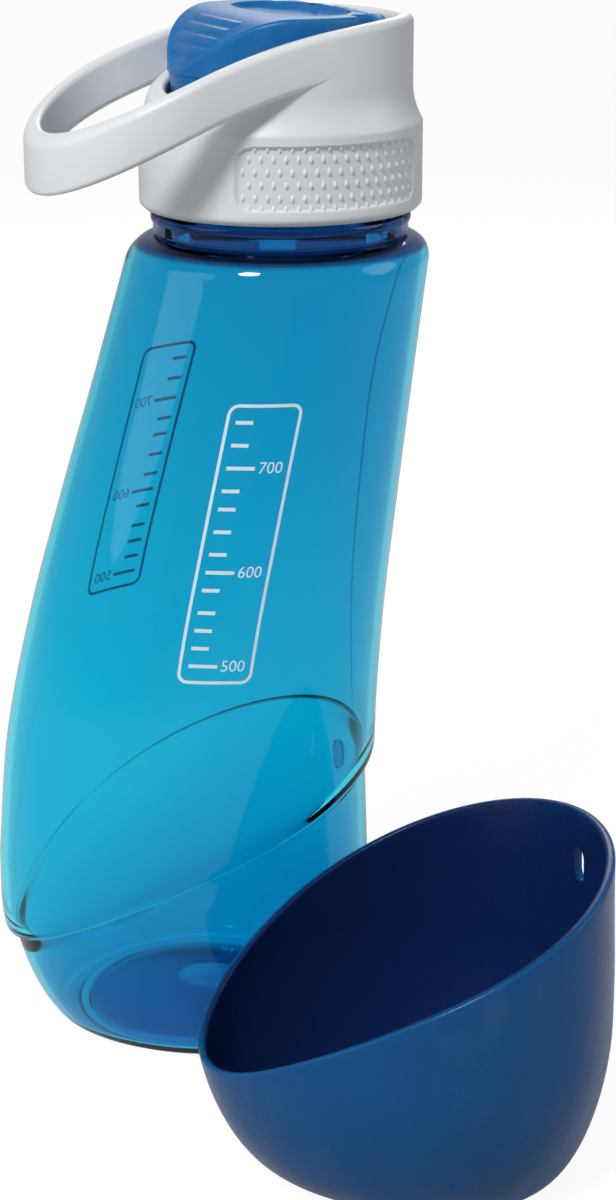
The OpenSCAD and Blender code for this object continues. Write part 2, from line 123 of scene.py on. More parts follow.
class CapSizes(bpy.types.PropertyGroup):
    """The screw cap, its collar and its carry loop."""

    skirt_r: length("Skirt", "Outer radius of the skirt", 32.1)
    skirt_z: length("Skirt bottom", "Height of the skirt's lower edge", 195.2)
    skirt_h: length("Skirt height", "Height of the skirt", 19.5)
    core_r: length("Core", "Outer radius of the threaded core", 29.73)
    collar_r: length("Collar", "Outer radius of the collar", 29.8)
    pocket_r: length("Pocket", "Bore radius of the collar", 25.7)
    deck_z: length("Deck", "Height of the deck's top face", 213)
    turn: turned("Cap turn", "Angle that the cap is turned to on the neck", 12)
    loop_reach: length("Loop reach", "Distance from the cap's axis to the loop's round end", 30)
    loop_end_r: length("Loop end", "Outer radius of the loop's round end", 29.4)
    loop_h: length("Loop band", "Height of the loop's band", 11)
    loop_top: length("Loop top", "Height of the loop's top edge over the deck", 23.5)
    loop_lean: share("Loop lean", "Rise of the loop's top edge towards the hinge", 0.162)
    edge: length("Edge rounding", "Rounding of the loop's and the collar's edges", 1.7)
    grip_w: length("Grip width", "Width of a grip panel", 43)
    grip_h: length("Grip height", "Height of a grip panel", 13.6)
    grip_depth: length("Grip depth", "Depth of a grip panel", 0.8)
    port_x: length("Port offset", "Distance of the pour port from the cap's axis", -4)
    port_r: length("Port", "Radius of the pour port", 6)


class FlipSizes(bpy.types.PropertyGroup):
    """The flip top."""

    flip_r: length("Radius", "Radius of the flip top's round plan", 25.3)
    top_z: length("Top", "Height of the flip top's top face", 239)
    low_z: length("Underside", "Height of the block's underside", 225.4)
    hinge_x: length("Hinge offset", "Distance from the cap's axis to the hinge", 18.3)
    hinge_z: length("Hinge height", "Height of the hinge", 233.8)
    knuckle_r: length("Knuckle", "Radius of the knuckle round the hinge", 4.4)
    knuckle_w: length("Knuckle width", "Half width of the knuckle", 10)
    trunnion_r: length("Trunnion", "Radius of the two trunnions", 1.9)
    trunnion_reach: length("Trunnion reach", "Reach of a trunnion from the middle", 21.1)
    ramp_r: length("Ramp", "Radius of the thumb ramp's arch", 18.2)
    dish_l: length("Dish length", "Half length of the dish in the top", 10.6)
    dish_w: length("Dish width", "Half width of the dish in the top", 20)
    dish_depth: length("Dish depth", "Depth of the dish in the top", 3.6)


class Colours(bpy.types.PropertyGroup):
    """Colours of the plastics."""

    bottle_low: colour("Bottle, low", "Tint of the clear plastic low on the body", (0.03, 0.65, 0.8))
    bottle_high: colour("Bottle, high", "Tint of the clear plastic near the shoulder", (0.03, 0.48, 0.68))
    bottle_foot: colour("Bottle, foot", "Tint of the clear plastic in the foot", (0.03, 0.35, 0.6))
    # Painted shade in the middle of the base, from the lean side to the tall side
    bottle_base: colour("Bottle, base shade", "Painted shade in the base, towards the lean side", (0.01, 0.17, 0.45))
    bottle_disc: colour("Bottle, disc shade", "Painted shade in the base, towards the tall side", (0.01, 0.03, 0.18))
    # Partly the thick plastic's deeper tint, partly painted shade under the cap
    bottle_neck: colour("Bottle, neck", "Tint of the thick clear plastic of the neck, deepened by painted shade under the cap", (0.015, 0.25, 0.55))
    # Painted shade on the lugs, on the line below them and on everything above them, under the cap
    bottle_shade: colour("Bottle, painted shade", "Painted shade on the lugs, on the line below them and above them", (0.004, 0.035, 0.14))
    bowl: colour("Bowl", "Moulded plastic of the bowl", (0.003, 0.072, 0.225))
    # Painted shade inside the bowl
    bowl_hollow: colour("Bowl, painted shade inside", "Painted shade inside the bowl", (0.004, 0.018, 0.085))
    shell: colour("Shell", "Moulded plastic of the cap", (0.66, 0.68, 0.70))
    core: colour("Core", "Moulded plastic inside the cap", (0.72, 0.73, 0.74))
    flip: colour("Flip top", "Moulded plastic of the flip top", (0.004, 0.125, 0.35))
    rubber: colour("Rubber", "Gasket, seal and valve", (0.55, 0.57, 0.58))
    ink: colour("Ink", "Printed fill scale", (0.62, 0.72, 0.78))
    floor: colour("Floor", "Floor and backdrop", (0.5, 0.5, 0.5))


GROUPS = {"body": BodySizes, "neck": NeckSizes, "cap": CapSizes, "flip": FlipSizes, "tints": Colours}


def measures(context, name):
    """One group's sizes, its lengths in millimetres."""
    group = getattr(context.scene, "bottle_" + name)
    found = {}
    for key in GROUPS[name].__annotations__:
        value = getattr(group, key)
        unit = getattr(group.bl_rna.properties[key], "unit", "NONE")
        found[key] = value / MM if unit == "LENGTH" else value
    return SimpleNamespace(**found)


# Shader maths

RAYS = ("Camera", "Transmission", "Glossy")


class Sock:
    """A socket of a shader tree. Arithmetic on it adds Math nodes."""

    def __init__(self, paint, link):
        self.paint, self.link = paint, link

    def _math(self, kind, first, second):
        return self.paint.node("Math", {"operation": kind}, {0: first, 1: second})

    def __add__(self, other):
        return self._math("ADD", self, other)

    __radd__ = __add__

    def __sub__(self, other):
        return self._math("SUBTRACT", self, other)

    def __rsub__(self, other):
        return self._math("SUBTRACT", other, self)

    def __mul__(self, other):
        return self._math("MULTIPLY", self, other)

    __rmul__ = __mul__

    def __pow__(self, other):
        return self._math("POWER", self, other)


class Nodes:
    """A node tree, and the one method that adds nodes to it."""

    def __init__(self, tree):
        self.tree = tree

    def node(self, kind, settings, inputs, out=0):
        """Adds a node. The settings are set first, then each socket gets its value or link."""
        made = self.tree.nodes.new("ShaderNode" + kind)
        for key, value in settings.items():
            setattr(made, key, value)
        for key, value in inputs.items():
            if isinstance(value, Sock):
                self.tree.links.new(value.link, made.inputs[key])
            else:
                made.inputs[key].default_value = value
        return Sock(self, made.outputs[out])

    def most(self, first, second):
        return self.node("Math", {"operation": "MAXIMUM"}, {0: first, 1: second})

    def seen_white(self, gloss):
        """1 where a camera or clear plastic looks, and a share of that where a glossy surface does."""
        camera, through, glossy = (self.node("LightPath", {}, {}, f"Is {ray} Ray") for ray in RAYS)
        return self.most(self.most(camera, through), glossy * gloss)


class Paint(Nodes):
    """A material whose shader is a Principled BSDF, with the nodes that feed it."""

    def __init__(self, name, **constants):
        self.material = bpy.data.materials.new(name)
        self.material.use_nodes = True
        super().__init__(self.material.node_tree)
        self.shader = self.tree.nodes["Principled BSDF"]
        for key, value in constants.items():
            self.shader.inputs[key.replace("_", " ")].default_value = value
        self.place = self.node("TexCoord", {}, {}, "Object")

    def feed(self, **links):
        for key, value in links.items():
            self.tree.links.new(value.link, self.shader.inputs[key.replace("_", " ")])

    def noise(self, scale, detail=2.0, rough=0.5, stretch=None):
        place = self.place
        if stretch:
            place = self.node("Mapping", {}, {"Vector": place, "Scale": stretch})
        inputs = {"Vector": place, "Scale": scale, "Detail": detail, "Roughness": rough}
        return self.node("TexNoise", {}, inputs)

    def span(self, value, low, high, to_low=0.0, to_high=1.0):
        """Maps a value from one range to another, clamped."""
        limits = {"From Min": low, "From Max": high, "To Min": to_low, "To Max": to_high}
        return self.node("MapRange", {}, {"Value": value, **limits})

    def band(self, value, low, full, full_end, high):
        """1 from full to full_end, falling to 0 at low and at high."""
        return self.span(value, low, full) * self.span(value, high, full_end)

    def mix(self, factor, first, second):
        inputs = {0: factor, 6: first, 7: second}
        for key in (6, 7):
            if not isinstance(inputs[key], Sock):
                inputs[key] = (*inputs[key], 1)
        return self.node("Mix", {"data_type": "RGBA"}, inputs, 2)

    def bump(self, height, strength, distance):
        inputs = {"Height": height, "Strength": strength, "Distance": distance}
        return self.node("Bump", {}, inputs)


def tint(rgb, by):
    return tuple(min(1, max(0, c * by)) for c in rgb)


# Heights and radii, in metres, between which parts of the clear plastic have their own tint or painted shade
FOOT_FADE = (0.008, 0.05)
BASE_DISC_R = (0.0265, 0.0275)
BASE_DISC_Z = (0.012, 0.0135)
LUG_R = (0.0284, 0.0287)
LUG_Z = (0.1885, 0.1888, 0.1919, 0.1921)
SHADE_LINE_Z = (0.1862, 0.187, 0.1893, 0.1898)
ABOVE_LUGS = (0.1921, 0.1924)


def clear_plastic(tones, body):
    """Tinted clear plastic, deeper towards the neck and in the foot, with painted shade in the base, on the
    neck, on the lugs and on the line under them, and with flow marks and fine scuffs.
    """
    paint = Paint("clear_plastic", Transmission_Weight=1.0, IOR=1.3)
    x, y, z = (paint.node("SeparateXYZ", {}, {0: paint.place}, out) for out in range(3))
    flow = paint.noise(22, 2, 0.5, (1, 1, 0.35))
    deep = paint.span(z + x * 1.1 + flow * 0.03, 0.05, 0.21)
    base = paint.mix(deep, tones.bottle_low, tones.bottle_high)
    base = paint.mix(paint.span(z - x * 0.4, *FOOT_FADE, 1, 0), base, tones.bottle_foot)
    # Painted shade in the middle of the base
    disc = paint.span((x**2 + y**2) ** 0.5, *BASE_DISC_R, 1, 0) * paint.span(z, *BASE_DISC_Z, 1, 0)
    base_shade = paint.mix(paint.span(x + y * 0.4, -0.016, 0.01), tones.bottle_base, tones.bottle_disc)
    base = paint.mix(disc, base, base_shade)
    # The neck's tint: partly the thick plastic, partly painted shade under the cap
    shoulder = (body.shoulder_h - 1.2) * MM
    base = paint.mix(paint.span(z, shoulder, shoulder + 0.0012), base, tones.bottle_neck)
    # Painted shade on the lugs, on the line below them and on everything above them
    from_neck = (x - body.neck_x * MM) ** 2 + y**2
    lug = paint.span(from_neck**0.5, *LUG_R) * paint.band(z, *LUG_Z)
    shade = paint.most(paint.most(lug, paint.band(z, *SHADE_LINE_Z)), paint.span(z, *ABOVE_LUGS))
    base = paint.mix(shade, base, tones.bottle_shade)
    scuffs = paint.span(paint.noise(420, 5, 0.7), 0.62, 0.78)
    patches = paint.span(paint.noise(16, 2), 0.45, 0.7)
    paint.feed(
        Base_Color=base,
        Roughness=0.035 + scuffs * patches * (1 - disc) * 0.12,
        Normal=paint.bump(paint.noise(38, 1, 0.4), 0.08, 0.0006),
    )
    return paint.material


def moulded(
    name, rgb, rough, grain=1800, grain_depth=0.05, shade=0.06, gloss=0.5, worn=0.03, hollow=None
):
    """Opaque moulded plastic: a fine spark-eroded grain, faint flow shading, and rubbed patches.

    A hollow's colour, a painted shade, shows where the mesh has an attribute named hollow."""
    paint = Paint(name, Specular_IOR_Level=gloss, IOR=1.48)
    cloud = paint.noise(30, 3, 0.55)
    fine = paint.noise(grain, 3, 0.6)
    rubbed = paint.span(paint.noise(70, 4, 0.65, (1, 1, 0.5)), 0.5, 0.72)
    base = paint.mix(paint.span(cloud, 0.3, 0.7), tint(rgb, 1 - shade), tint(rgb, 1 + shade))
    base = paint.mix(paint.span(fine, 0.4, 0.75, 0, 0.1), base, tint(rgb, 0.82))
    lighter = tuple(c + (1 - c) * worn for c in rgb)
    base = paint.mix(rubbed * 0.5, base, lighter)
    # Painted shade in the hollow
    if hollow:
        base = paint.mix(paint.node("Attribute", {"attribute_name": "hollow"}, {}, "Fac"), base, hollow)
    paint.feed(
        Base_Color=base,
        Roughness=paint.span(fine, 0.3, 0.7, rough - 0.05, rough + 0.05) - rubbed * 0.06,
        Normal=paint.bump(fine, grain_depth, 0.0002),
    )
    return paint.material


def soft_rubber(name, rgb):
    """Silicone with dust in its pores."""
    paint = Paint(name, Specular_IOR_Level=0.4)
    pores = paint.noise(900, 3, 0.6)
    dust = paint.span(paint.noise(120, 4, 0.7), 0.48, 0.75)
    paint.feed(
        Base_Color=paint.mix(dust * 0.35, rgb, tint(rgb, 1.35)),
        Roughness=0.55 + pores * 0.2,
        Normal=paint.bump(pores, 0.12, 0.0002),
    )
    return paint.material


def printing_ink(name, rgb):
    """Screen-printed ink, thin in places where it rubs off."""
    paint = Paint(name, Specular_IOR_Level=0.35)
    mesh = paint.noise(1400, 2, 0.5)
    thin = paint.span(paint.noise(260, 5, 0.7), 0.56, 0.74)
    paint.feed(
        Base_Color=paint.mix(thin * 0.4, rgb, tint(rgb, 0.82)),
        Roughness=0.45 + mesh * 0.15,
        Normal=paint.bump(mesh, 0.08, 0.0001),
    )
    return paint.material


def pale_floor(rgb):
    """A plain pale floor that a camera or clear plastic sees near white, with its shadows."""
    paint = Paint("pale_floor", Roughness=0.9, Specular_IOR_Level=0.1)
    paint.feed(Base_Color=paint.mix(paint.span(paint.noise(3, 2), 0.3, 0.7), tint(rgb, 0.99), rgb))
    glow = paint.node("Emission", {}, {"Color": (1, 1, 1, 1), "Strength": 1.17})
    surface = Sock(paint, paint.shader.outputs[0])
    mixed = paint.node("MixShader", {}, {0: paint.seen_white(0.2) * 0.8, 1: surface, 2: glow})
    paint.tree.links.new(mixed.link, paint.tree.nodes["Material Output"].inputs["Surface"])
    return paint.material


# Modelling


class Loft:
    """A skin that grows ring by ring: each ring is extruded from the last and moved into place."""

    def __init__(self, columns=COLUMNS):
        self.bm = bmesh.new()
        self.column = self.bm.verts.layers.int.new("column")
        self.columns = columns
        self.edges = self.first = None

    def ring(self, points):
        if self.edges is None:
            verts = bmesh.ops.create_circle(self.bm, segments=self.columns, radius=1)["verts"]
            for i, vert in enumerate(verts):
                vert[self.column] = i
            self.edges = self.first = list(self.bm.edges)
        else:
            grown = bmesh.ops.extrude_edge_only(self.bm, edges=self.edges)["geom"]
            verts = [g for g in grown if isinstance(g, bmesh.types.BMVert)]
            self.edges = [g for g in grown if isinstance(g, bmesh.types.BMEdge) and g.is_boundary]
        for vert in verts:
            vert.co = points[vert[self.column]]

    def rings(self, many):
        for points in many:
            self.ring(points)
        return self

    def pole(self, point):
        """Draws the open end together in one point."""
        grown = bmesh.ops.extrude_edge_only(self.bm, edges=self.edges)["geom"]
        verts = [g for g in grown if isinstance(g, bmesh.types.BMVert)]
        bmesh.ops.pointmerge(self.bm, verts=verts, merge_co=point)
        return self

    def close(self):
        """Joins the last ring to the first."""
        bmesh.ops.bridge_loops(self.bm, edges=self.edges + self.first)
        return self.bm

    def capped(self):
        """Fills both open ends."""
        for end in (self.first, self.edges):
            bmesh.ops.contextual_create(self.bm, geom=end)
        return self.bm


def from_pole(point, rings, last):
    """A closed skin that starts in one point and ends in another."""
    loft = Loft()
    loft.rings(rings).pole(last)
    bmesh.ops.contextual_create(loft.bm, geom=loft.first)
    cap = max(loft.bm.faces, key=lambda face: len(face.verts))
    bmesh.ops.poke(loft.bm, faces=[cap])
    tip = min(loft.bm.verts, key=lambda vert: (vert.co - Vector(point)).length)
    tip.co = point
    return loft.bm


def merge(target, source, matrix=None):
    """Adds one bmesh to another, placed by a matrix, and frees it."""
    if matrix:
        bmesh.ops.transform(source, matrix=matrix, verts=source.verts)
    held = bpy.data.meshes.new("held")
    source.to_mesh(held)
    source.free()
    target.from_mesh(held)
    bpy.data.meshes.remove(held)
    return target


def turned_shape(profile, count=96, matrix=None):
    """A closed profile of (radius, height) pairs spun round the Z axis."""
    bm = bmesh.new()
    verts = [bm.verts.new((r, 0, z)) for r, z in profile]
    edges = [bm.edges.new(pair) for pair in zip(verts, verts[1:] + verts[:1])]
    spun = verts + edges
    bmesh.ops.spin(bm, geom=spun, cent=(0, 0, 0), axis=(0, 0, 1), angle=TURN, steps=count, use_merge=True)
    bmesh.ops.remove_doubles(bm, verts=bm.verts, dist=1e-4)
    if matrix:
        bmesh.ops.transform(bm, matrix=matrix, verts=bm.verts)
    return bm


def rod(radius, half, bevel, matrix, segments=48):
    """A round bar along its own Z, with bevelled ends."""
    bm = bmesh.new()
    sizes = {"radius1": radius, "radius2": radius, "depth": 2 * half}
    bmesh.ops.create_cone(bm, cap_ends=True, segments=segments, **sizes)
    rims = [edge for edge in bm.edges if abs(edge.verts[0].co.z - edge.verts[1].co.z) < 1e-6]
    bmesh.ops.bevel(bm, geom=rims, offset=bevel, segments=3, profile=0.5, affect="EDGES", material=-1)
    bmesh.ops.transform(bm, matrix=matrix, verts=bm.verts)
    return bm


def slab(size, bevel, matrix):
    """A block with bevelled edges."""
    bm = bmesh.new()
    bmesh.ops.create_cube(bm, size=1)
    bmesh.ops.scale(bm, vec=size, verts=bm.verts)
    edges = list(bm.edges)
    bmesh.ops.bevel(bm, geom=edges, offset=bevel, segments=2, profile=0.5, affect="EDGES", material=-1)
    bmesh.ops.transform(bm, matrix=matrix, verts=bm.verts)
    return bm


def carve(bm, cutter):
    """Cuts one closed bmesh out of another."""
    objects = []
    for shape in (bm, cutter):
        bmesh.ops.recalc_face_normals(shape, faces=shape.faces)
        mesh = bpy.data.meshes.new("carving")
        shape.to_mesh(mesh)
        shape.free()
        objects.append(bpy.data.objects.new("carving", mesh))
        bpy.context.scene.collection.objects.link(objects[-1])
    work, tool = objects
    cut = work.modifiers.new("cut", "BOOLEAN")
    cut.object, cut.operation, cut.solver = tool, "DIFFERENCE", "EXACT"
    result = work.evaluated_get(bpy.context.evaluated_depsgraph_get())
    carved = bmesh.new()
    carved.from_mesh(result.to_mesh())
    result.to_mesh_clear()
    for obj in objects:
        mesh = obj.data
        bpy.data.objects.remove(obj)
        bpy.data.meshes.remove(mesh)
    return carved


def piece(name, bm, material, body, stands_for=(), sharp=38, place=None):
    """Places a bmesh in millimetres and finishes it as a piece that rides on a body."""
    if place:
        bmesh.ops.transform(bm, matrix=place, verts=bm.verts)
    bmesh.ops.remove_doubles(bm, verts=bm.verts, dist=2e-4)
    bmesh.ops.recalc_face_normals(bm, faces=bm.faces)
    bmesh.ops.scale(bm, vec=(MM, MM, MM), verts=bm.verts)
    limit = math.radians(sharp)
    for face in bm.faces:
        face.smooth = True
    for edge in bm.edges:
        edge.smooth = len(edge.link_faces) != 2 or edge.calc_face_angle(0) < limit
    mesh = bpy.data.meshes.new(name)
    bm.to_mesh(mesh)
    bm.free()
    mesh.materials.append(material)
    made = bpy.data.objects.new(name, mesh)
    bpy.context.scene.collection.objects.link(made)
    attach(made, body)
    if stands_for:
        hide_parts(*stands_for)
    return made


def dress(node, material):
    """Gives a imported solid, which is shown as it is, its material."""
    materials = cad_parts[node].data.materials
    materials.clear()
    materials.append(material)


def steps(low, high, count):
    return [low + (high - low) * i / (count - 1) for i in range(count)]


def polar(r, a, z, x=0.0):
    """The point at radius r and angle a round an upright axis at x."""
    return Vector((x + r * math.cos(a), r * math.sin(a), z))


def round_corners(half_x, half_y, radius, count):
    """The four corners of an oblong, in turn, each as an arc of points."""
    x, y = half_x - radius, half_y - radius
    arcs = []
    for k, (cx, cy) in enumerate(((1, 1), (-1, 1), (-1, -1), (1, -1))):
        angles = steps(k * TURN / 4, (k + 1) * TURN / 4, count)
        arcs.append([(cx * x + radius * math.cos(a), cy * y + radius * math.sin(a)) for a in angles])
    return arcs


def smooth(t):
    """0 to 1 with soft ends."""
    t = min(1, max(0, t))
    return t * t * (3 - 2 * t)


def between(table, t):
    """A smooth curve through a table of values at even steps."""
    last = len(table) - 1
    x = min(max(t, 0), 1) * last
    i = min(int(x), last - 1)
    t = x - i
    ma = (table[i + 1] - table[max(i - 1, 0)]) / (1 if i == 0 else 2)
    mb = (table[min(i + 2, last)] - table[i]) / (1 if i == last - 1 else 2)
    return (
        (2 * t**3 - 3 * t**2 + 1) * table[i]
        + (t**3 - 2 * t**2 + t) * ma
        + (3 * t**2 - 2 * t**3) * table[i + 1]
        + (t**3 - t**2) * mb
    )


class BodyShape:
    """The leaning body's outline. Heights run from the bowl's foot, as the two stand nested."""

    TAPER = (0, 0.15, 0.345, 0.56, 0.79, 1)
    LEAN = (0, 0.045, 0.215, 0.465, 0.735, 1)
    ROUND_POWER = 1.7
    EGG_FROM = 100
    SEAT_ARCH = 0.0018
    SEAT_CURL = 0.00003
    FOOT_LIFT = 0.8

    def __init__(self, sizes):
        self.s = sizes
        self.lift = sizes.bowl_floor + sizes.nest_gap
        self.inset = sizes.bowl_wall + sizes.nest_gap
        self.angles = [TURN * i / COLUMNS for i in range(COLUMNS)]
        self.seats = [self.seat(a) for a in self.angles]

    def rise(self, z):
        return (z - self.s.widest_h) / (self.s.shoulder_h - self.s.widest_h)

    def corner(self, z):
        t = min(max(1 - z / self.s.foot_round, 0), 1)
        return 1 - (1 - t**self.ROUND_POWER) ** (1 / self.ROUND_POWER)

    def half_width(self, z):
        s = self.s
        taper = (s.body_r - s.shoulder_r) * between(self.TAPER, self.rise(z))
        return s.body_r - taper - (s.body_r - s.foot_r) * self.corner(z)

    def centre(self, z):
        s = self.s
        lean = (s.belly_x + s.neck_x) * between(self.LEAN, self.rise(z))
        return lean - s.belly_x * (1 - self.corner(z))

    def egg(self, z):
        return self.s.egg * min(max((self.s.shoulder_h - z) / (self.s.shoulder_h - self.EGG_FROM), 0), 1)

    def point(self, a, z, inset, lift):
        """A point of the skin at height z of a piece whose foot stands lift above the bowl's."""
        r = self.half_width(z + lift) - inset
        x = self.centre(z + lift) + r * math.cos(a)
        return Vector((x, r * math.sin(a) * (1 + self.egg(z + lift) * math.cos(a)), z))

    def seat(self, a):
        z = self.s.seat_h
        for _ in range(12):
            x = self.centre(z) + self.half_width(z) * math.cos(a)
            bend = self.SEAT_CURL * x**3 - self.SEAT_ARCH * x**2
            z = (z + self.s.seat_h + self.s.seat_slope * x + bend) / 2
        return z

    def level(self, z, inset, lift):
        return [self.point(a, z, inset, lift) for a in self.angles]

    def below_seat(self, t, low, inset, lift, drop):
        """A ring at share t of the way from a height to the slanted seat."""
        return [
            self.point(a, low + t * (seat - lift - drop - low), inset, lift)
            for a, seat in zip(self.angles, self.seats)
        ]

    def above_seat(self, t, high, inset, lift, rise=0.0):
        """A ring at share t of the way from the slanted seat to a height."""
        return [
            self.point(a, seat - lift + rise + t * (high - seat + lift - rise), inset, lift)
            for a, seat in zip(self.angles, self.seats)
        ]

    def circle(self, r, z, x=0.0):
        return [polar(r, a, z, x) for a in self.angles]

    def foot(self, dome):
        """Rings of the base from its middle out over the ring foot."""
        lift, foot = self.FOOT_LIFT, self.s.foot_r
        inside, outside = foot - 4, foot - 1.2
        rings = [self.circle((inside - 1.5) * t, lift + dome * (1 - t * t)) for t in steps(0.06, 1, 14)]
        rings += [self.circle(inside + r, z) for r, z in ((-0.5, lift), (0, 0.55), (0.2, 0.2), (0.6, 0.0))]
        rings += [self.circle(outside + r, z) for r, z in ((-0.6, 0.0), (-0.2, 0.2), (0, 0.55), (0.5, lift))]
        return rings


LUG_SHARE = 0.345
# Offsets from the seat of the rings over the ledge, as (height, inset), outside and inside
LEDGE = ((-0.15, 2.25), (-0.03, 2.1), (0, 1.8), (0, 1.0), (0.08, 0.62), (0.3, 0.3), (0.62, 0.08), (1, 0))
INNER_LEDGE = ((4, 1.85), (2.5, 2.1), (1, 2.6), (-0.5, 3.2), (-2, 3.7), (-3.5, 4), (-4.5, 4.1))


def bottle_top(shape, neck):
    """Rings over the shoulder, the lugged strip, the bead and the neck, then down the bore."""
    s = shape.s
    round_r = 5.5
    body_top = s.shoulder_h - shape.lift - 4
    top = body_top + round_r
    foot_of_round = neck.strip_r + 0.8
    x = s.neck_x

    def shoulder(angle, inset):
        z = body_top + (round_r - inset) * math.sin(angle)
        at = min(z + shape.lift, s.shoulder_h)
        reach = shape.half_width(at) - foot_of_round - inset
        r = foot_of_round + reach * math.cos(angle)
        return shape.circle(r, z, shape.centre(at))

    def strip(z, grow):
        ring = []
        for a in shape.angles:
            phase = ((a - neck.lug_at) * neck.lugs / TURN + 0.5) % 1
            lug = smooth((LUG_SHARE - abs(phase - 0.5) + 0.02) / 0.04) if grow else 0
            r = neck.strip_r + lug * (neck.bead_r - neck.strip_r - 0.5) * grow
            ring.append(polar(r, a, z, x))
        return ring

    def hoops(radius, height, *offsets):
        return [shape.circle(radius + r, height + z, x) for r, z in offsets]

    bead = top + neck.strip_h
    above = bead + neck.bead_h
    lip = top + neck.neck_h
    bore = neck.mouth_r
    rings = [shoulder(math.radians(d), 0) for d in steps(6, 84, 12)]
    rings += hoops(neck.strip_r, top, (0.25, 0.02), (0, 0.3))
    rings += [strip(top + 0.62, 0), strip(top + 0.8, 1), strip(bead - 0.1, 1)]
    rings += hoops(neck.bead_r, bead, (-0.45, 0), (-0.1, 0.2), (0, 0.55))
    rings += hoops(neck.bead_r, above, (0, -0.55), (-0.15, -0.15), (-0.55, 0))
    rings += hoops(neck.neck_r, above, (0.3, 0), (0, 0.3))
    rings += hoops(neck.neck_r, lip, (0, -0.8), (-0.25, -0.2), (-0.8, 0))
    rings += hoops(bore, lip, (0.5, 0), (0.12, -0.15), (0, -0.6))
    rings += [shape.circle(bore, z, x) for z in steps(lip - 4, top + 0.2, 4)]
    rings += hoops(bore, top, (0.1, -0.5), (0.6, -1.3), (1.6, -1.75))
    rings += [shoulder(math.radians(d), s.wall) for d in steps(84, 6, 9)]
    return body_top, rings


def bottle_shell(shape, neck):
    """The whole clear bottle as one closed skin, outside and inside."""
    s = shape.s
    lift, inset, low = shape.lift, shape.inset, shape.FOOT_LIFT
    rings = shape.foot(s.dome)
    rings += [shape.level(low + z, inset + r, lift) for r, z in ((1.5, 0), (0.6, 0.05), (0.15, 0.3))]
    rings += [shape.below_seat(t**1.35, low + 0.6, inset, lift, 0.5) for t in steps(0.01, 1, 34)]
    rings += [shape.above_seat(0, 0, i, lift, z) for z, i in LEDGE]
    body_top, top = bottle_top(shape, neck)
    rings += [shape.above_seat(t, body_top, 0, lift, 1) for t in steps(0.015, 1, 64)]
    rings += top
    rings += [shape.above_seat(t, body_top, s.wall, lift, 5) for t in steps(1, 0.01, 56)]
    rings += [shape.above_seat(0, 0, i, lift, z) for z, i in INNER_LEDGE]
    floor = low + s.wall
    rings += [shape.below_seat(t**1.35, floor + 0.8, inset + s.wall, lift, 5) for t in steps(1, 0.01, 28)]
    rings += [shape.level(floor + z, inset + s.wall + r, lift) for r, z in ((0.4, 0.35), (1.5, 0.05))]
    dome_r = s.foot_r - 5.5
    rings += [shape.circle(dome_r * t, floor + s.dome * (1 - t * t)) for t in steps(1, 0.06, 14)]
    return from_pole((0, 0, low + s.dome), rings, (0, 0, floor + s.dome))


def screw_ridge(radius, height, low, pitch, turns):
    """A helical ridge, swept along its helix."""
    section = ((-0.5, -0.95), (0, -0.75), (height * 0.85, -0.35), (height, 0))
    section += tuple((out, -up) for out, up in reversed(section[:-1]))
    per_turn = 40
    count = int(turns * per_turn)
    loft = Loft(len(section))
    for i in range(count + 1):
        swell = smooth(min(i, count - i) / 5 + 0.02)
        ring = []
        for out, up in section:
            r = radius + (out * swell if out * height > 0 else out)
            z = low + pitch * i / per_turn + up * (0.4 + 0.6 * swell)
            ring.append(polar(r, TURN * i / per_turn, z))
        loft.ring(ring)
    return loft.capped()


def oval_bar(width, height, out, bevel, matrix):
    """A bar along its own X with an upright oval section and a rounded end."""
    loft = Loft(32)
    straight = (height - width) / 2

    def ring(x, shrink):
        made = []
        for i in range(32):
            a = TURN * i / 32
            up = math.sin(a)
            r = width / 2 - shrink
            made.append(Vector((x, r * math.cos(a), r * up + math.copysign(straight, up) * (abs(up) > 1e-6))))
        return made

    loft.ring(ring(0, 0))
    for angle in steps(0, 90, 5):
        t = math.radians(angle)
        loft.ring(ring(out - bevel + bevel * math.sin(t), bevel * (1 - math.cos(t))))
    bm = loft.capped()
    bmesh.ops.transform(bm, matrix=matrix, verts=bm.verts)
    return bm


NUB_AT = math.radians(13)
NUB_DROP = 12.8


def at_nub(shape, inset, lift):
    """The snap slot's place on the skin, its own X pointing out, for a piece inset from the bowl's skin."""
    z = shape.seat(NUB_AT) - NUB_DROP
    skin = shape.point(NUB_AT, z, 0, 0)
    centre = Vector((shape.centre(z), 0, z))
    out = (skin - centre).normalized()
    at = skin - out * inset - Vector((0, 0, lift))
    return Matrix.Translation(at) @ Matrix.Rotation(math.atan2(out.y, out.x), 4, "Z")


SEAM_BEND = (6, 14, 19, 21, 13)


def mould_seam(shape):
    """A fine raised line up the tall side's skin, from the ledge to the shoulder."""
    loft = Loft(6)
    low = shape.seat(math.radians(SEAM_BEND[0])) - shape.lift + 2.5
    high = shape.s.shoulder_h - shape.lift - 5
    section = ((-0.35, -0.03), (-0.2, 0.05), (-0.05, 0.1), (0.05, 0.1), (0.2, 0.05), (0.35, -0.03))
    for z in steps(low, high, 90):
        around = math.radians(between(SEAM_BEND, (z - low) / (high - low)))
        r = shape.half_width(z + shape.lift)
        loft.ring([shape.point(around + side / r, z, -out, shape.lift) for side, out in section])
    return loft.capped()


THREAD_TURNS = 1.5
NUB_GAP = 0.7


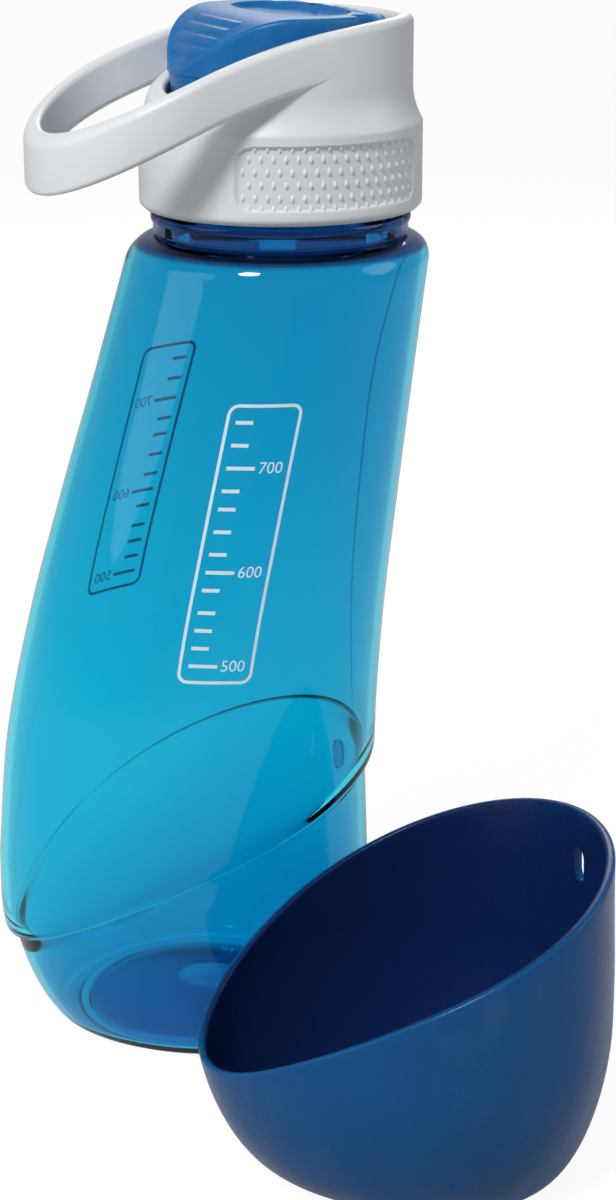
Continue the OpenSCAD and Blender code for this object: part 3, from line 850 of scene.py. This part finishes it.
class BOTTLE_OT_make_bottle(bpy.types.Operator):
    """The clear bottle with its thread, its snap nub and its mould seam"""

    bl_idname = "bottle.make_bottle"
    bl_label = "Make bottle"

    def execute(self, context):
        body, neck, tones = (measures(context, name) for name in ("body", "neck", "tints"))
        shape = BodyShape(body)
        plastic = clear_plastic(tones, body)
        piece("bottle_clear", bottle_shell(shape, neck), plastic, "bottle", ("bottle_body",))
        above = body.shoulder_h - shape.lift + 1.5 + neck.strip_h + neck.bead_h
        ridge = screw_ridge(neck.neck_r, neck.ridge, above + 3, neck.pitch, THREAD_TURNS)
        at_neck = Matrix.Translation((body.neck_x, 0, 0))
        piece("bottle_thread", ridge, plastic, "bottle", place=at_neck)
        piece("bottle_mould_seam", mould_seam(shape), plastic, "bottle")
        start = at_nub(shape, shape.inset + 0.1, shape.lift)
        nub = oval_bar(body.slot_w - NUB_GAP, body.slot_h - NUB_GAP, shape.inset - 0.1, 0.8, start)
        piece("bottle_snap_nub", nub, plastic, "bottle")
        return {"FINISHED"}


FILL_MARKS = range(500, 760, 20)
SCALES = {"scale_front": -97.5, "scale_back": 113}


class BOTTLE_OT_make_scale(bpy.types.Operator):
    """The printed fill scale on the front and on the back"""

    bl_idname = "bottle.make_scale"
    bl_label = "Make fill scale"

    def execute(self, context):
        body, tones = (measures(context, name) for name in ("body", "tints"))
        shape = BodyShape(body)
        ink = printing_ink("printed_ink", tones.ink)
        marks = fill_heights(shape, FILL_MARKS)
        for name, around in SCALES.items():
            bm = scale_print(shape, marks, math.radians(around))
            piece(name, bm, ink, "bottle", sharp=60)
        return {"FINISHED"}


def fill_heights(shape, volumes):
    """The height at which the bottle holds each volume, in millilitres."""
    found, held, z = {}, 0.0, shape.FOOT_LIFT + shape.s.wall
    wanted = list(volumes)
    while wanted and z < shape.s.shoulder_h:
        ring = [
            shape.point(a, z, shape.s.wall + (shape.inset if z < seat - shape.lift else 0), shape.lift)
            for a, seat in zip(shape.angles, shape.seats)
        ]
        area = sum(p.x * q.y - q.x * p.y for p, q in zip(ring, ring[1:] + ring[:1])) / 2
        held += area / 1000
        z += 1
        while wanted and held >= wanted[0]:
            found[wanted.pop(0)] = z
    return found


PRINT_OFF = 0.04


def wrap(bm, shape, around, z):
    """Lays a flat print, drawn in millimetres on X and Y, round the body at an angle and a height."""
    for vert in bm.verts:
        high = z + vert.co.y
        r = shape.half_width(high + shape.lift)
        vert.co = shape.point(around + vert.co.x / r, high, -PRINT_OFF - vert.co.z, shape.lift)


def strip_mark(x0, x1, y0, y1, cells):
    """A flat printed bar."""
    bm = bmesh.new()
    bmesh.ops.create_grid(bm, x_segments=cells, y_segments=2, size=0.5)
    bmesh.ops.scale(bm, vec=(x1 - x0, y1 - y0, 1), verts=bm.verts)
    bmesh.ops.translate(bm, vec=((x0 + x1) / 2, (y0 + y1) / 2, 0), verts=bm.verts)
    return bm


def number_mark(text, size, x, y):
    """Plain figures as a flat mesh, cut into narrow columns so that they can bend."""
    words = bpy.data.curves.new("figures", "FONT")
    words.body, words.size, words.align_y = text, size, "CENTER"
    words.resolution_u = 4
    held = bpy.data.objects.new("figures", words)
    bpy.context.scene.collection.objects.link(held)
    mesh = bpy.data.meshes.new_from_object(held.evaluated_get(bpy.context.evaluated_depsgraph_get()))
    bm = bmesh.new()
    bm.from_mesh(mesh)
    bpy.data.objects.remove(held)
    bpy.data.curves.remove(words)
    bpy.data.meshes.remove(mesh)
    bmesh.ops.remove_doubles(bm, verts=bm.verts, dist=1e-4)
    for i in range(1, int(size * 3)):
        bmesh.ops.bisect_plane(
            bm, geom=bm.verts[:] + bm.edges[:] + bm.faces[:], plane_co=(i * 0.8, 0, 0), plane_no=(1, 0, 0)
        )
    bmesh.ops.translate(bm, vec=(x, y, 0), verts=bm.verts)
    return bm


def frame_mark(half_w, half_h, corner, line):
    """A thin printed outline with round corners."""
    arc, straight = 12, 16
    loft = Loft(4 * (arc + straight))
    for inset in (0, line):
        arcs = round_corners(half_w - inset, half_h - inset, corner - inset, arc)
        arcs = [[Vector((x, y, 0)) for x, y in points] for points in arcs]
        ring = []
        for points, after in zip(arcs, arcs[1:] + arcs[:1]):
            ring += points
            ring += [points[-1].lerp(after[0], k / (straight + 1)) for k in range(1, straight + 1)]
        loft.ring(ring)
    return loft.bm


def scale_print(shape, marks, around):
    """Ticks, figures and a thin frame, as one thin print."""
    heights = list(marks.values())
    middle = (heights[0] + heights[-1]) / 2
    whole = bmesh.new()
    for volume, z in marks.items():
        main = volume % 100 == 0
        bar = strip_mark(-6, 0.2 if main else -2.2, z - 0.4 - middle, z + 0.4 - middle, 8)
        merge(whole, bar)
        if main:
            merge(whole, number_mark(str(volume), 3.6, 0.9, z - middle))
    merge(whole, frame_mark(8.2, (heights[-1] - heights[0]) / 2 + 4, 2.4, 0.7))
    wrap(whole, shape, around, middle)
    return whole


class BOTTLE_OT_make_bowl(bpy.types.Operator):
    """The drinking bowl with its slanted rim, ring foot and snap slot"""

    bl_idname = "bottle.make_bowl"
    bl_label = "Make bowl"

    def execute(self, context):
        body, tones = (measures(context, name) for name in ("body", "tints"))
        shape = BodyShape(body)
        wall, floor, low, gap = body.bowl_wall, body.bowl_floor, shape.FOOT_LIFT, body.nest_gap
        rings = shape.foot(0)
        rings += [shape.level(low + z, r, 0) for r, z in ((1.5, 0), (0.6, 0.05), (0.15, 0.3))]
        rings += [shape.below_seat(t**1.4, low + 0.6, 0, 0, gap + 0.8) for t in steps(0.01, 1, 44)]
        rim = ((0.45, 0.06), (0.2, 0.28), (0.05, 0.65))
        rim += tuple((drop, wall - inset) for drop, inset in reversed(rim))
        rings += [shape.above_seat(0, 0, inset, 0, -gap - drop) for drop, inset in rim]
        rings += [shape.below_seat(t**1.4, floor + 0.6, wall, 0, gap + 0.8) for t in steps(1, 0.01, 44)]
        rings += [shape.level(floor + z, wall + r, 0) for r, z in ((0.3, 0.25), (1.2, 0.03))]
        rings += [shape.circle(r, floor) for r in steps(30, 1.5, 8)]
        bm = from_pole((0, 0, low), rings, (0, 0, floor))
        tool = oval_bar(body.slot_w, body.slot_h, 8, 0.1, at_nub(shape, 5, 0))
        bm = carve(bm, tool)
        # Marks the bowl's inside above its floor, where painted shade goes
        hollow = bm.verts.layers.float.new("hollow")
        for vert in bm.verts:
            x, y, z = vert.co
            half = shape.half_width(z)
            x -= shape.centre(z)
            away = math.hypot(x, y / (1 + shape.egg(z) * x / half)) - half
            vert[hollow] = smooth(-away - 0.2) if z > floor - 0.2 else 0
        stand = Matrix.Translation((body.bowl_x, body.bowl_y, 0)) @ Matrix.Rotation(body.bowl_turn, 4, "Z")
        finish = {"grain": 1200, "grain_depth": 0.03, "gloss": 0.18, "hollow": tones.bowl_hollow}
        plastic = moulded("bowl_plastic", tones.bowl, 0.27, **finish)
        piece("bowl_moulded", bm, plastic, "bowl", ("bowl",), place=stand)
        return {"FINISHED"}


# The cap


def cap_place(context):
    body, cap = measures(context, "body"), measures(context, "cap")
    return Matrix.Translation((body.neck_x, 0, 0)) @ Matrix.Rotation(cap.turn, 4, "Z")


LOOP_DROOP = 0.0039
LOOP_DEEPEN = 0.0004
LOBE_X = -3.4
LOBE_UP = 3.25
FLARE_H = 8


def loop_top(cap, x):
    return cap.deck_z + cap.loop_top + cap.loop_lean * x - LOOP_DROOP * x * x


def band_height(cap, x):
    return cap.loop_h + LOOP_DEEPEN * x * x


def wall_top(cap, x):
    """The collar's top edge: level with the loop on the hinge's side, and a low lobe on the other."""
    high = loop_top(cap, x)
    low = high - band_height(cap, x) + LOBE_UP
    return low + (high - low) * smooth((x - LOBE_X + 1.5) / 1.5)


def skirt_radius(cap, z):
    """Outer radius of the skirt, its soft crease and the collar's flare."""
    t = (z - cap.skirt_z - cap.skirt_h) / FLARE_H
    step = cap.skirt_r - cap.collar_r
    return cap.collar_r + step * (1 if t < 0 else (1 - t) ** 2 if t < 1 else 0)


def grip_middle(cap):
    return cap.skirt_z + cap.skirt_h / 2 + 0.6


def grip_mask(cap, x, z):
    """1 inside a grip panel and 0 outside it, with a soft edge."""
    corner, soft = 3, 0.45
    dx = max(abs(x) - cap.grip_w / 2 + corner, 0)
    dz = max(abs(z - grip_middle(cap)) - cap.grip_h / 2 + corner, 0)
    return smooth((corner - math.hypot(dx, dz)) / soft + 0.5)


def collar_rings(cap):
    """Rings from the shell's inside at the bottom, out, up the skirt and collar, and down its bore."""
    angles = [TURN * i / COLLAR_COLUMNS for i in range(COLLAR_COLUMNS)]
    edge = cap.edge

    def plain(r, z):
        return [polar(r, a, z) for a in angles]

    def outside(z):
        ring = []
        for a in angles:
            top = wall_top(cap, cap.collar_r * math.cos(a)) - edge
            high = min(z, top)
            r = skirt_radius(cap, high)
            r -= cap.grip_depth * grip_mask(cap, r * math.cos(a), high)
            ring.append(polar(r, a, high))
        return ring

    def lip(inner, degrees):
        t = math.radians(degrees)
        ring = []
        for a in angles:
            top = wall_top(cap, cap.collar_r * math.cos(a))
            r = skirt_radius(cap, top - edge) - edge * (1 - math.cos(t))
            if inner:
                r = cap.pocket_r + edge * (1 - math.cos(t))
            ring.append(polar(r, a, wall_top(cap, r * math.cos(a)) - edge * (1 - math.sin(t))))
        return ring

    def inside(t):
        ring = []
        for a in angles:
            top = wall_top(cap, cap.pocket_r * math.cos(a)) - edge
            ring.append(polar(cap.pocket_r, a, top + (cap.deck_z + 0.12 - top) * t))
        return ring

    bore, low = cap.core_r + 0.1, cap.skirt_z
    rings = [plain(bore, cap.deck_z + 0.1), plain(bore, low + 0.3), plain(bore + 0.3, low)]
    foot = ((-1.6, 0), (-1.15, 0.12), (-0.45, 0.8), (-0.08, 1.25))
    rings += [plain(cap.skirt_r + r, low + z) for r, z in foot]
    rings += [outside(z) for z in steps(low + 1.8, low + cap.skirt_h - 0.3, 44)]
    rings += [outside(z) for z in steps(low + cap.skirt_h + 0.1, low + cap.skirt_h + FLARE_H, 12)]
    rings += [outside(z) for z in steps(low + cap.skirt_h + FLARE_H + 1, loop_top(cap, cap.collar_r) + 1, 12)]
    rings += [lip(False, d) for d in steps(0, 90, 7)]
    rings += [lip(True, d) for d in steps(90, 0, 7)]
    rings += [inside(t) for t in steps(0.05, 1, 10)]
    return rings


def loop_band(cap):
    """The carry loop: a rounded band swept along its plan, its two ends buried in the collar's wall."""
    half = (cap.collar_r - cap.pocket_r) / 2
    r0, r1 = cap.collar_r - half, cap.loop_end_r - half
    nx = (r1 - r0) / cap.loop_reach
    tangent = math.acos(nx)
    end = Vector((-cap.loop_reach, 0))
    path = []
    for a in steps(tangent - 0.35, tangent, 12):
        path.append((Vector((math.cos(a), math.sin(a))) * r0, a))
    out = Vector((math.cos(tangent), math.sin(tangent)))
    for t in steps(0, 1, 22)[1:-1]:
        path.append((out * r0 + (end + out * r1 - out * r0) * t, tangent))
    for a in steps(tangent, math.pi, 44):
        path.append((end + Vector((math.cos(a), math.sin(a))) * r1, a))
    path += [(Vector((p.x, -p.y)), -a) for p, a in reversed(path[:-1])]

    arcs = round_corners(half, cap.loop_h / 2, cap.edge, 7)
    section = [point for arc in arcs for point in arc]
    loft = Loft(len(section))
    last = len(path) - 1
    for i, (p, a) in enumerate(path):
        buried = smooth(1 - min(i, last - i) / 10)
        shrink = 1 - 0.12 * buried
        ring = []
        for u, v in section:
            x = p.x + math.cos(a) * u * shrink
            y = p.y + math.sin(a) * u * shrink
            tall = band_height(cap, x)
            z = loop_top(cap, x) - tall / 2 + v * shrink * tall / cap.loop_h
            ring.append(Vector((x, y, z)))
        loft.ring(ring)
    return loft.capped()


def grip_bumps(cap):
    """Staggered rows of small pointed bumps in the two grip panels."""
    whole = bmesh.new()
    middle = grip_middle(cap)
    base = cap.skirt_r - cap.grip_depth - 0.1
    pitch, row_h = 2.7, 2.8
    for side in (-1, 1):
        for row in range(-3, 3):
            for i in range(-9, 10):
                along = (i + (0.5 if row % 2 else 0)) * pitch
                angle = side * math.pi / 2 + along / base
                z = middle + (row + 0.5) * row_h
                if abs(z - middle) > cap.grip_h / 2:
                    z = middle + math.copysign(cap.grip_h / 2 - 0.3, z - middle)
                if grip_mask(cap, cap.skirt_r * math.cos(angle), z) < 0.5:
                    continue
                bump = bmesh.new()
                bmesh.ops.create_cone(
                    bump, cap_ends=True, segments=8, radius1=1, radius2=0.22, depth=1,
                    matrix=Matrix.Translation((0, 0, 0.5)),
                )
                bmesh.ops.scale(bump, vec=(1.15, 0.6, 0.65), verts=bump.verts)
                turn = Matrix.Rotation(angle, 4, "Z") @ Matrix.Translation((base, 0, z))
                merge(whole, bump, turn @ Matrix.Rotation(math.pi / 2, 4, "Y"))
    return whole


COLLAR_COLUMNS = 360


class BOTTLE_OT_make_cap_shell(bpy.types.Operator):
    """The cap's shell: skirt, collar, carry loop and grip panels"""

    bl_idname = "bottle.make_cap_shell"
    bl_label = "Make cap shell"

    def execute(self, context):
        cap, flip, tones = (measures(context, name) for name in ("cap", "flip", "tints"))
        place = cap_place(context)
        finish = {"grain": 2200, "grain_depth": 0.06, "shade": 0.02, "worn": 0.08}
        plastic = moulded("shell_plastic", tones.shell, 0.42, **finish)
        collar = Loft(COLLAR_COLUMNS).rings(collar_rings(cap)).close()
        hole = rod(flip.trunnion_r + 0.05, flip.trunnion_reach + 0.2, 0.02, hinge_place(flip))
        collar = carve(collar, hole)
        piece("cap_collar_and_skirt", collar, plastic, "cap", ("cap_shell",), 32, place)
        piece("cap_carry_loop", loop_band(cap), plastic, "cap", sharp=32, place=place)
        piece("cap_grip_bumps", grip_bumps(cap), plastic, "cap", sharp=75, place=place)
        return {"FINISHED"}


def hinge_place(flip):
    """The hinge's place, with its axis along Z turned to Y."""
    return Matrix.Translation((flip.hinge_x, 0, flip.hinge_z)) @ Matrix.Rotation(math.pi / 2, 4, "X")


class BOTTLE_OT_make_cap_core(bpy.types.Operator):
    """The threaded core with the deck, the pour port's rim and the air vent"""

    bl_idname = "bottle.make_cap_core"
    bl_label = "Make cap core"

    def execute(self, context):
        cap, tones = (measures(context, name) for name in ("cap", "tints"))
        place = cap_place(context)
        plastic = moulded("core_plastic", tones.core, 0.36, grain=1500, grain_depth=0.04, shade=0.02)
        dress("cap_core", plastic)
        rim_top = cap.deck_z + 3.2
        bead = ((0.35, -0.2), (0.6, 0.12), (1.0, 0.25), (1.4, 0.12), (1.65, -0.2))
        profile = [(cap.port_r + r, rim_top + z) for r, z in bead]
        bm = turned_shape(profile, 72, place @ Matrix.Translation((cap.port_x, 0, 0)))
        piece("port_rim_bead", bm, plastic, "cap")
        return {"FINISHED"}


# The flip top


DISH_X = 3.2
DISH_POWER = 2.8


class FlipShape:
    """Plan and heights of the flip top, in the cap's own frame. Columns turn round the dish's middle."""

    COLUMNS = 240

    def __init__(self, flip):
        self.f = flip
        self.back = flip.hinge_x - 5.1
        self.corner_x, self.corner_y = flip.hinge_x - 10.1, 19.7
        self.arch_x = flip.ramp_r - flip.flip_r
        self.angles = [TURN * i / self.COLUMNS for i in range(self.COLUMNS)]
        corners = [(flip.hinge_x, flip.knuckle_w), (self.back, flip.knuckle_w), (self.back, self.corner_y)]
        on_rim = math.sqrt(flip.flip_r**2 - self.corner_x**2)
        corners += [(self.corner_x, self.corner_y), (self.corner_x, on_rim)]
        for x, y in corners:
            for side in (-1, 1):
                a = math.atan2(side * y, x - DISH_X) % TURN
                self.angles[round(a / TURN * self.COLUMNS) % self.COLUMNS] = a

    def within(self, x, y, shrink):
        f, y = self.f, abs(y) + shrink
        x_in = x + shrink
        if math.hypot(x, abs(y) - shrink) > f.flip_r - shrink or x_in > f.hinge_x:
            return False
        return not (x_in > self.corner_x and y > self.corner_y or x_in > self.back and y > f.knuckle_w)

    def outline(self, shrink=0.0):
        """The plan's outline, moved inwards, as points on X and Y."""
        points = []
        for a in self.angles:
            low, high = 5.0, 40.0
            for _ in range(26):
                reach = (low + high) / 2
                inside = self.within(DISH_X + reach * math.cos(a), reach * math.sin(a), shrink)
                low, high = (reach, high) if inside else (low, reach)
            points.append((DISH_X + low * math.cos(a), low * math.sin(a)))
        return points

    def dish(self, grow):
        """The dish's oval edge at the same columns, grown by a share."""
        points = []
        for a in self.angles:
            along, across = abs(math.cos(a)) / self.f.dish_l, abs(math.sin(a)) / self.f.dish_w
            power = DISH_POWER if math.cos(a) < 0 else 2
            reach = grow / (along**power + across**power) ** (1 / power)
            points.append((DISH_X + reach * math.cos(a), reach * math.sin(a)))
        return points

    def top(self, x, y):
        """Height of the arched thumb ramp, the flat top, and the slope to the knuckle."""
        f = self.f
        if x < self.arch_x:
            return f.top_z - f.ramp_r + math.sqrt(max(f.ramp_r**2 - (x - self.arch_x) ** 2, 0))
        return f.top_z - 0.22 * max(0, x - self.back)


def flip_block(flip):
    """The block: an arched, dished top with a rounded edge, its wall, and a hollow underside."""
    shape = FlipShape(flip)
    edge, wall, low = 1.3, 2.2, flip.low_z
    ceiling = low + 7
    brim = [shape.top(x, y) for x, y in shape.outline(edge)]

    def ring(points, height):
        return [Vector((x, y, height(i, x, y))) for i, (x, y) in enumerate(points)]

    def roof(i, x, y):
        return min(ceiling, brim[i] - 2.4)

    inner, outer = shape.outline(wall), shape.outline()
    loft = Loft(shape.COLUMNS)
    for t in (0.02, 0.3, 0.6, 0.85, 0.97):
        points = [(DISH_X + (x - DISH_X) * t, y * t) for x, y in inner]
        loft.ring(ring(points, lambda i, x, y: min(ceiling, brim[i] - 2.4 if t > 0.7 else ceiling)))
    for t in (0.15, 0.6, 0.95):
        loft.ring(ring(inner, lambda i, x, y: roof(i, x, y) + (low + 0.3 - roof(i, x, y)) * t))
    loft.ring(ring(shape.outline(wall - 0.3), lambda i, x, y: low))
    loft.ring(ring(shape.outline(0.4), lambda i, x, y: low))
    for t in steps(0, 1, 9):
        loft.ring(ring(outer, lambda i, x, y: low + 0.4 + (max(brim[i] - edge - low, 0.5) - 0.4) * t))
    for degrees in steps(15, 90, 6):
        t = math.radians(degrees)
        points = shape.outline(edge * (1 - math.cos(t)))
        loft.ring(ring(points, lambda i, x, y: max(brim[i] - edge, low + 0.5) + edge * math.sin(t)))
    start, end = shape.outline(edge), shape.dish(1.0)
    for t in steps(0.04, 0.96, 26) + [0.985]:
        points = [(a + (c - a) * t, b + (d - b) * t) for (a, b), (c, d) in zip(start, end)]
        loft.ring(ring(points, lambda i, x, y: shape.top(x, y)))
    for grow, drop in ((1.0, 0.05), (0.985, 0.3)):
        loft.ring(ring(shape.dish(grow), lambda i, x, y: shape.top(x, y) - drop))
    for grow in (0.96, 0.92, 0.87, 0.8, 0.72, 0.62, 0.5, 0.37, 0.22, 0.08):
        depth = flip.dish_depth * math.sqrt(1 - (grow / 1.01) ** 2)
        loft.ring(ring(shape.dish(grow), lambda i, x, y: flip.top_z - depth))
    loft.pole((DISH_X, 0, flip.top_z - flip.dish_depth))
    bmesh.ops.contextual_create(loft.bm, geom=loft.first)
    return loft.bm


def flip_ridges(flip):
    """Soft bars across the thumb ramp, sunk so that their crowns stand out."""
    whole = bmesh.new()
    arch_x = flip.ramp_r - flip.flip_r
    for degrees, half in ((117, 12.5), (127, 12), (137, 11), (147, 9.5), (157, 7)):
        a = math.radians(degrees)
        r = flip.ramp_r - 1.55
        x, z = arch_x + r * math.cos(a), flip.top_z - flip.ramp_r + r * math.sin(a)
        place = Matrix.Translation((x, 0, z)) @ Matrix.Rotation(math.pi / 2, 4, "X")
        merge(whole, rod(2, half, 1.8, place, 40))
    return whole


def flip_tail(flip):
    """The curved wall under the thumb end, which closes the collar's low side."""
    loft = Loft(8)
    low, high = flip.low_z - 5.1, flip.low_z + 1.5
    r, wall = flip.flip_r - 0.9, 2.4
    section = ((r + 0.65, high), (r + 0.6, low + 5), (r, low + 0.8), (r - 0.5, low))
    section += ((r - wall + 0.4, low), (r - wall, low + 0.4), (r - wall, low + 3), (r - wall, high))
    for angle in steps(110, 250, 48):
        a = math.radians(angle)
        loft.ring([polar(q, a, z) for q, z in section])
    return loft.capped()


def hinge_barrel(flip):
    """The knuckle, narrowing at both ends to the two trunnions."""
    f = flip
    end = f.knuckle_w + 4.6
    pin, tip = f.trunnion_r, f.trunnion_reach
    half = [(0, tip), (pin - 0.4, tip), (pin, tip - 0.4), (pin, end + 0.15), (pin + 0.2, end - 0.05)]
    half += [(f.knuckle_r - 0.15, f.knuckle_w + 0.3), (f.knuckle_r, f.knuckle_w - 0.3)]
    return turned_shape(half + [(r, -z) for r, z in reversed(half)], 64)


class BOTTLE_OT_make_flip_top(bpy.types.Operator):
    """The flip top with its ridged ramp, oval dish, knuckle, trunnions and boss"""

    bl_idname = "bottle.make_flip_top"
    bl_label = "Make flip top"

    def execute(self, context):
        cap, flip, tones = (measures(context, name) for name in ("cap", "flip", "tints"))
        place = cap_place(context)
        plastic = moulded("flip_plastic", tones.flip, 0.36, grain=1700, gloss=0.22, worn=0.04)
        at_hinge = place @ hinge_place(flip)
        piece("flip_block", flip_block(flip), plastic, "flip", ("flip_top",), 40, place)
        piece("flip_tail", flip_tail(flip), plastic, "flip", place=place)
        piece("flip_knuckle", hinge_barrel(flip), plastic, "flip", place=at_hinge)
        piece("flip_ridges", flip_ridges(flip), plastic, "flip", place=place)
        pad_top = cap.deck_z + 5.5
        port = place @ Matrix.Translation((cap.port_x, 0, 0))
        boss = [(0, pad_top), (cap.port_r + 0.3, pad_top), (cap.port_r + 0.6, pad_top + 0.3)]
        boss += [(cap.port_r + 0.6, flip.low_z + 7.5), (0, flip.low_z + 7.5)]
        whole = turned_shape(boss, 72, port)
        for angle in (0, 60, 120):
            turn = port @ Matrix.Rotation(math.radians(angle), 4, "Z")
            rib = slab((30, 1.2, 7.4), 0.25, turn @ Matrix.Translation((0, 0, flip.low_z + 4.6)))
            merge(whole, rib)
        piece("flip_boss_and_ribs", whole, plastic, "flip")
        return {"FINISHED"}


class BOTTLE_OT_make_seals(bpy.types.Operator):
    """The port's seal, the cap's gasket and the air valve"""

    bl_idname = "bottle.make_seals"
    bl_label = "Make seals"

    def execute(self, context):
        cap, tones = (measures(context, name) for name in ("cap", "tints"))
        rubber = soft_rubber("silicone", tones.rubber)
        port = cap_place(context) @ Matrix.Translation((cap.port_x, 0, 0))
        low = cap.deck_z + 3.5
        r = cap.port_r + 2
        pad = [(0, low + 0.1), (cap.port_r - 1.2, low + 0.1), (cap.port_r - 0.6, low)]
        pad += [(r - 0.5, low), (r - 0.1, low + 0.15)]
        pad += [(r, low + 0.5), (r, low + 1.5), (r - 0.15, low + 1.85), (r - 0.5, low + 2), (0, low + 2)]
        piece("port_seal_pad", turned_shape(pad, 72, port), rubber, "flip", ("port_seal",))
        for node in ("cap_gasket", "vent_valve"):
            dress(node, rubber)
        return {"FINISHED"}


# The stage

CAMERA_AT = (-0.11460, -0.60558, 0.294507)
CAMERA_TURN = -0.23
CAMERA_DOWN = 0.3021
FOCAL_PIXELS = 2736.84
PHOTO_HEIGHT = 1200
SKY = {"Color": (0.95, 0.97, 1, 1), "Strength": 0.22}
WHITE = {"Color": (1, 1, 1, 1), "Strength": 1.0}
LAMP_AIM = (0.02, -0.03, 0.12)
# Place, size and power of each lamp
LAMPS = {
    "key": ((-0.63, -0.78, 1.235), 0.36, 17),
    "left": ((-1.0, -0.12, 0.55), 0.8, 2.6),
    "right": ((0.95, -0.3, 0.5), 0.6, 2.2),
    "back": ((0.3, 0.9, 0.8), 0.6, 4),
}


def area_light(name, at, size, power):
    data = bpy.data.lights.new(name, "AREA")
    data.shape, data.size, data.energy = "DISK", size, power
    lamp = bpy.data.objects.new(name, data)
    bpy.context.scene.collection.objects.link(lamp)
    lamp.location = at
    lamp.rotation_euler = (Vector(LAMP_AIM) - Vector(at)).to_track_quat("-Z", "Y").to_euler()


class BOTTLE_OT_make_stage(bpy.types.Operator):
    """The floor, the world, the soft lamps and the camera"""

    bl_idname = "bottle.make_stage"
    bl_label = "Make stage"

    def execute(self, context):
        scene, tones = context.scene, measures(context, "tints")
        bm = bmesh.new()
        bmesh.ops.create_circle(bm, cap_ends=True, segments=64, radius=12)
        mesh = bpy.data.meshes.new("floor")
        bm.to_mesh(mesh)
        bm.free()
        mesh.materials.append(pale_floor(tones.floor))
        floor = bpy.data.objects.new("floor", mesh)
        scene.collection.objects.link(floor)

        world = bpy.data.worlds.new("studio")
        scene.world = world
        world.use_nodes = True
        nodes = Nodes(world.node_tree)
        sky, white = (nodes.node("Background", {}, inputs) for inputs in (SKY, WHITE))
        mixed = nodes.node("MixShader", {}, {0: nodes.seen_white(0.2), 1: sky, 2: white})
        nodes.tree.links.new(mixed.link, nodes.tree.nodes["World Output"].inputs["Surface"])

        for name, lamp in LAMPS.items():
            area_light(name, *lamp)

        data = bpy.data.cameras.new("camera")
        camera = bpy.data.objects.new("camera", data)
        scene.collection.objects.link(camera)
        camera.location = CAMERA_AT
        camera.rotation_euler = (math.pi / 2 - CAMERA_DOWN, 0, CAMERA_TURN)
        data.lens = FOCAL_PIXELS * data.sensor_width / PHOTO_HEIGHT
        data.clip_start, data.clip_end = 0.01, 50
        scene.camera = camera
        scene.view_settings.view_transform = "Standard"
        return {"FINISHED"}


OPERATORS = (
    BOTTLE_OT_make_stage,
    BOTTLE_OT_make_bottle,
    BOTTLE_OT_make_scale,
    BOTTLE_OT_make_bowl,
    BOTTLE_OT_make_cap_shell,
    BOTTLE_OT_make_cap_core,
    BOTTLE_OT_make_flip_top,
    BOTTLE_OT_make_seals,
)


class BOTTLE_PT_panel(bpy.types.Panel):
    """Lists the makers of the bottle's pieces"""

    bl_label = "Dog travel water bottle"
    bl_idname = "BOTTLE_PT_panel"
    bl_space_type = "VIEW_3D"
    bl_region_type = "UI"
    bl_category = "Bottle"

    def draw(self, context):
        for operator in OPERATORS:
            self.layout.operator(operator.bl_idname)
        for name, group in GROUPS.items():
            box = self.layout.box()
            for key in group.__annotations__:
                box.prop(getattr(context.scene, "bottle_" + name), key)


CLASSES = (*GROUPS.values(), *OPERATORS, BOTTLE_PT_panel)


def register():
    for made in CLASSES:
        bpy.utils.register_class(made)
    for name, group in GROUPS.items():
        setattr(bpy.types.Scene, "bottle_" + name, PointerProperty(type=group))


def unregister():
    for name in GROUPS:
        delattr(bpy.types.Scene, "bottle_" + name)
    for made in reversed(CLASSES):
        bpy.utils.unregister_class(made)


def main():
    register()
    for operator in OPERATORS:
        area, name = operator.bl_idname.split(".")
        getattr(getattr(bpy.ops, area), name)()
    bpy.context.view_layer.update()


if __name__ == "__main__":
    main()
